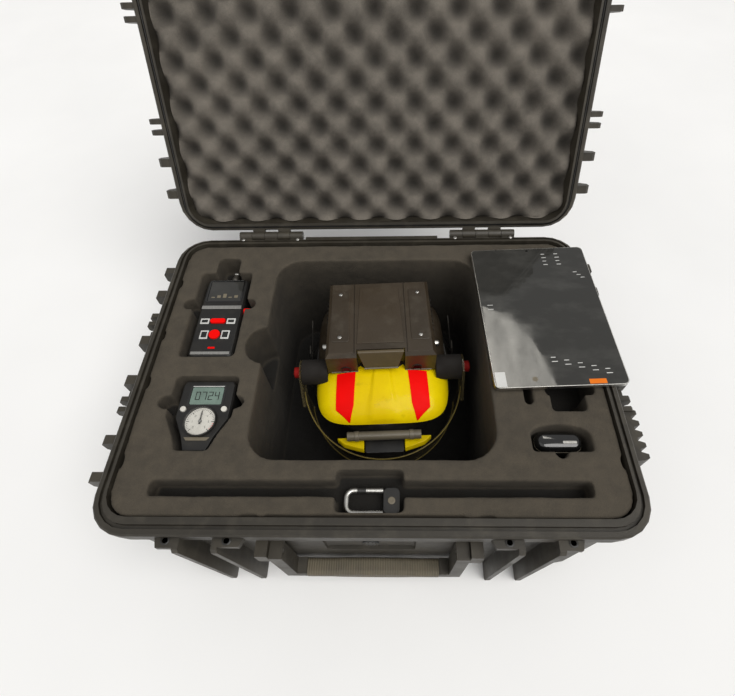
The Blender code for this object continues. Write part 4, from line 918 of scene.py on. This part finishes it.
def make_gauge():
    low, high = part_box("gauge_display")
    base = top("gauge_housing")
    for index, figure in enumerate(READING):
        x = low.x + 0.0060 + 0.0085 * index
        shown = digit(x, low.y + 0.0065, 0.0125, high.z - PRINT_SINK, FIGURES[figure])
        piece(f"gauge_figure_{index}", "gauge", "ink_black", shown)
    frame_out = outline(low.x - 0.0030, high.x + 0.0030, low.y - 0.0028, high.y + 0.0034, 0.0030)
    bezel = hoop(frame_out, around(low, high, 0.0003, 0.0018), base - SINK, base + 0.0003)
    piece("gauge_bezel", "gauge", "gloss_black", bezel)
    line = plate(low.x - 0.0004, high.x + 0.0004, high.y + 0.0006, high.y + 0.0018,
                 base - SINK, base + 0.0004, 0.0005)
    piece("gauge_light_line", "gauge", "ink_white", line)
    dial, face = centre("gauge_dial"), top("gauge_dial")
    radius = (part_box("gauge_dial")[1].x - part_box("gauge_dial")[0].x) / 2
    for index in range(TICKS):
        turn = DIAL_START - DIAL_SWEEP * index / (TICKS - 1)
        long = index % 5 == 0
        look = "red_gloss" if index >= RED_FROM and not long else "ink_black"
        piece(f"gauge_tick_{index}", "gauge", look, tick(dial, face, radius, turn, long))
    ring = radius * NUMBER_RING
    for index in range(NUMBERS):
        turn = DIAL_START - DIAL_SWEEP * index / (NUMBERS - 1)
        x, y = dial.x + ring * cos(turn) - 0.0008, dial.y + ring * sin(turn) - 0.0015
        number = digit(x, y, 0.0030, face - PRINT_SINK, FIGURES[str(index)])
        piece(f"gauge_number_{index}", "gauge", "ink_black", number)
    x, y0 = (low.x + high.x) / 2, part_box("gauge_housing")[0].y + 0.0130
    y1 = y0 + 0.0045
    neck = lofted([[(x - 0.0130, y0, z), (x + 0.0130, y0, z), (x + 0.0168, y1, z), (x - 0.0168, y1, z)]
                   for z in (base - SINK, base + 0.0010)])
    piece("gauge_neck_plate", "gauge", "bar_grey", neck, HERE, 0.0004)
    cap = turned((dial.x, dial.y, top("gauge_needle") - 0.0003), (0, 0, 1), NEEDLE_CAP, 20)
    piece("gauge_needle_cap", "needle", "pin_steel", cap)


# ---------------------------------------------------------------- tablet
GLASS_SINK = 0.00004
HOME_SPOT, HOME_AT = ((0.0, 0.0036), (0.0001, 0.0036), (0.00014, 0.0030)), (-0.0330, -0.1110, -GLASS_SINK)
EYE, EYE_AT = ((0.0, 0.0020), (0.0001, 0.0020), (0.00014, 0.0014)), (0.0, 0.1170, -GLASS_SINK)
RIM_WIDE, RIM_RADIUS = 0.0014, 0.007
LABEL_LIFT, MARK_LIFT = 0.00022, 0.00008
ORANGE_LABEL, WHITE_LABEL = (0.0350, 0.0570, -0.1205, -0.1135), (-0.0835, -0.0700, -0.1210, -0.0990)


def tablet_marks():
    """Rows of plain dashes that stand where the tablet's face has small print: x, y, width, height."""
    marks = [(0.020 + 0.020 * column, 0.1085 - 0.0072 * row, 0.0058 + 0.001 * (row % 2), 0.0012)
             for column in range(2) for row in range(4)]
    marks += [(0.0600 + 0.0045 * row, 0.0700 - 0.0055 * row, 0.0060, 0.0010) for row in range(3)]
    marks += [(-0.0760, 0.0120 - 0.0075 * row, 0.0080, 0.0010) for row in range(2)]
    marks += [(-0.0060 + 0.0165 * column, -0.0860 - 0.0050 * column + 0.0065 * row,
               0.0080 - 0.0015 * row, 0.0011) for column in range(5) for row in range(2)]
    return marks


def make_tablet():
    """Generic marks and labels on the tablet, tablet axes with z from the glass."""
    for index, (x, y, width, height) in enumerate(tablet_marks()):
        mark = plate(x, x + width, y, y + height, -GLASS_SINK, MARK_LIFT, 0.0004, 2)
        piece(f"tablet_mark_{index}", "tablet", "ink_white", mark, TABLET)
    orange = plate(*ORANGE_LABEL, -GLASS_SINK, LABEL_LIFT, 0.0006, 3)
    piece("tablet_label_orange", "tablet", "orange_label", orange, TABLET)
    white = plate(*WHITE_LABEL, -GLASS_SINK, LABEL_LIFT, 0.0006, 3)
    piece("tablet_label_white", "tablet", "ink_white", white, TABLET)
    piece("tablet_home_spot", "tablet", "bar_grey", turned(HOME_AT, (0, 0, 1), HOME_SPOT), TABLET)
    piece("tablet_camera", "tablet", "gloss_black", turned(EYE_AT, (0, 0, 1), EYE, 20), TABLET)
    corner = Vector((TABLET_W / 2, TABLET_L / 2))
    drop = top("tablet_housing") - top("tablet_glass")
    inner = around(-corner, corner, -RIM_WIDE, RIM_RADIUS - 0.001, 6)
    rim = hoop(around(-corner, corner, 0.0, RIM_RADIUS, 6), inner, drop - 0.0012, drop + 0.0009)
    piece("tablet_bright_rim", "tablet", "silver_metal", rim, TABLET, 0.0003)


# ---------------------------------------------------------------- domed device and clip
CAP_ROUND, CAP_END = 0.0085, 0.97
CLIP_BEND = 0.0085
RIVET = ((0.0, 0.0045), (0.0008, 0.0042), (0.0012, 0.0028), (0.0008, 0.0012))


def make_domed_device():
    low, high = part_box("remote_cap")
    half = (high.y - low.y) / 2
    rings = []
    for i in range(13):
        t = i / 12 * CAP_END
        inset = CAP_ROUND * (1 - sqrt(1 - t * t))
        radius = max(half - 0.0008 - inset, 0.002)
        rings.append(at(around(low, high, -inset, radius, 10), low.z + (high.z - low.z) * t / CAP_END))
    cap = piece("device_cap", "domed_device", "gloss_black", lofted(rings), smooth=60)
    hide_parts("remote_cap")
    out, inner = around(low, high, 0.0003, half - 0.0006, 10), around(low, high, -0.001, half - 0.0016, 10)
    belt = hoop(out, inner, low.z - 0.0016, low.z - 0.0003)
    piece("device_belt", "domed_device", "bar_grey", belt, HERE, 0.0002)


def make_clip():
    low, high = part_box("clip_loop")
    bar = (high.z - low.z) / 2
    middle_y, z = (low.y + high.y) / 2, (low.z + high.z) / 2
    half = (high.y - low.y) / 2 - bar
    left, right = low.x + bar + CLIP_BEND, high.x
    path = [(right, middle_y + half, z), (left + 0.006, middle_y + half, z)]
    for side, start in ((1, pi / 2), (-1, pi)):
        for i in range(13):
            turn = start + pi / 2 * i / 12
            y = middle_y + side * (half - CLIP_BEND) + CLIP_BEND * sin(turn)
            path.append((left + CLIP_BEND * cos(turn), y, z))
    path += [(left + 0.006, middle_y - half, z), (right, middle_y - half, z)]
    ring = piece("clip_ring", "clip", "silver_metal", tube(path, bar, 20), smooth=60)
    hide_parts("clip_loop")
    sleeve = ((0.0, bar), (0.0004, bar * 1.12), (0.0100, bar * 1.12), (0.0104, bar))
    piece("clip_gate", "clip", "dark_plastic", turned((left + 0.004, middle_y + half, z), (1, 0, 0), sleeve))
    spot = (centre("clip_hub").x, middle_y, top("clip_hub") - SINK)
    piece("clip_rivet", "clip", "bar_grey", turned(spot, (0, 0, 1), RIVET, 26))


# ---------------------------------------------------------------- studio
CARD = ((0.465, 0.70), (0.77, 0.71), (0.735, 0.86), (0.690, 1.00), (0.600, 1.13), (0.475, 1.20))


def light(name, towards, strength, spread, colour):
    """A wide, soft sun that shines from a direction; spread in degrees."""
    data = bpy.data.lights.new(name, "SUN")
    data.energy = strength
    data.angle = radians(spread)
    data.color = colour
    made = linked(name, data)
    made.location = towards * 2
    made.rotation_euler = towards.to_track_quat("Z", "Y").to_euler()


def make_window_card():
    """A bright ceiling pane, seen only as a reflection in the glossy pieces."""
    pane = at(CARD, CARD_HEIGHT)
    data = drawn("window_card", lambda mesh: mesh.faces.new([mesh.verts.new(point) for point in pane]))
    glow = Look("window_glow")
    streaks = glow.noise(9.0, 8.0, (1.0, 0.25, 1.0))
    colour = glow.mixed(glow.scaled(streaks, 0.30, 0.62), (0.30, 0.29, 0.26), (1.0, 0.96, 0.86))
    glow.tree.links.new(colour, glow.shader.inputs["Emission Color"])
    glow.shader.inputs["Emission Strength"].default_value = CARD_GLOW
    data.materials.append(glow.material)
    made = linked("window_card", data)
    made.visible_camera = False
    made.visible_diffuse = False
    made.visible_shadow = False
    made.visible_transmission = False


def make_floor():
    look = Look("floor_pale")
    drift = look.noise(2.0, 3.0)
    colour = look.mixed(look.scaled(drift, 0.3, 0.7), (0.86, 0.86, 0.86), (0.90, 0.90, 0.90))
    look.bump(look.noise(60.0, 4.0), 0.0002, 0.2)
    look.done(colour, look.scaled(drift, 0.3, 0.7, 0.80, 0.92))
    edge = outline(-FLOOR_HALF, FLOOR_HALF, -FLOOR_HALF, FLOOR_HALF, 0.5)
    data = drawn("floor", lofted([at(edge, FLOOR_TOP - 0.0195), at(edge, FLOOR_TOP)]))
    data.materials.append(look.material)
    linked("floor", data)


def make_lights():
    world = bpy.data.worlds.new("studio")
    bpy.context.scene.world = world
    world.use_nodes = True
    sky = world.node_tree.nodes["Background"]
    sky.inputs["Color"].default_value = (1.0, 0.995, 0.985, 1.0)
    sky.inputs["Strength"].default_value = 0.42
    light("key", Vector((0.45, -0.40, 1.0)), 2.15, 48, (1.0, 0.985, 0.955))
    light("side", Vector((-0.8, -0.7, 0.9)), 0.35, 70, (1.0, 0.99, 0.97))


def make_camera():
    camera = bpy.data.cameras.new("camera")
    camera.sensor_width = CAMERA_SENSOR
    camera.lens = CAMERA_LENS
    camera.shift_x, camera.shift_y = CAMERA_SHIFT
    camera.clip_start = 0.01
    made = linked("camera", camera)
    made.location = CAMERA_AT
    made.rotation_euler = [radians(angle) for angle in CAMERA_TURN]
    bpy.context.scene.camera = made
    bpy.context.scene.view_settings.view_transform = "Standard"
    bpy.context.scene.view_settings.look = "None"


# ---------------------------------------------------------------- assembly
SLOT_OF = {part["node"]: part["material_slot"] for part in frame["record"]["subparts"]}
for node_name in sorted(NODES):
    dress(node_name, SPECIAL.get(node_name, SLOT_OF[node_name]))
make_foam()
make_ribs()
make_case_fittings()
make_helmet_shell()
for side_name, side_sign in SIDES:
    make_helmet_side(side_name, side_sign)
make_helmet_front()
make_gas_detector()
make_gauge()
make_tablet()
make_domed_device()
make_clip()
make_floor()
make_lights()
make_window_card()
make_camera()
bpy.context.view_layer.update()
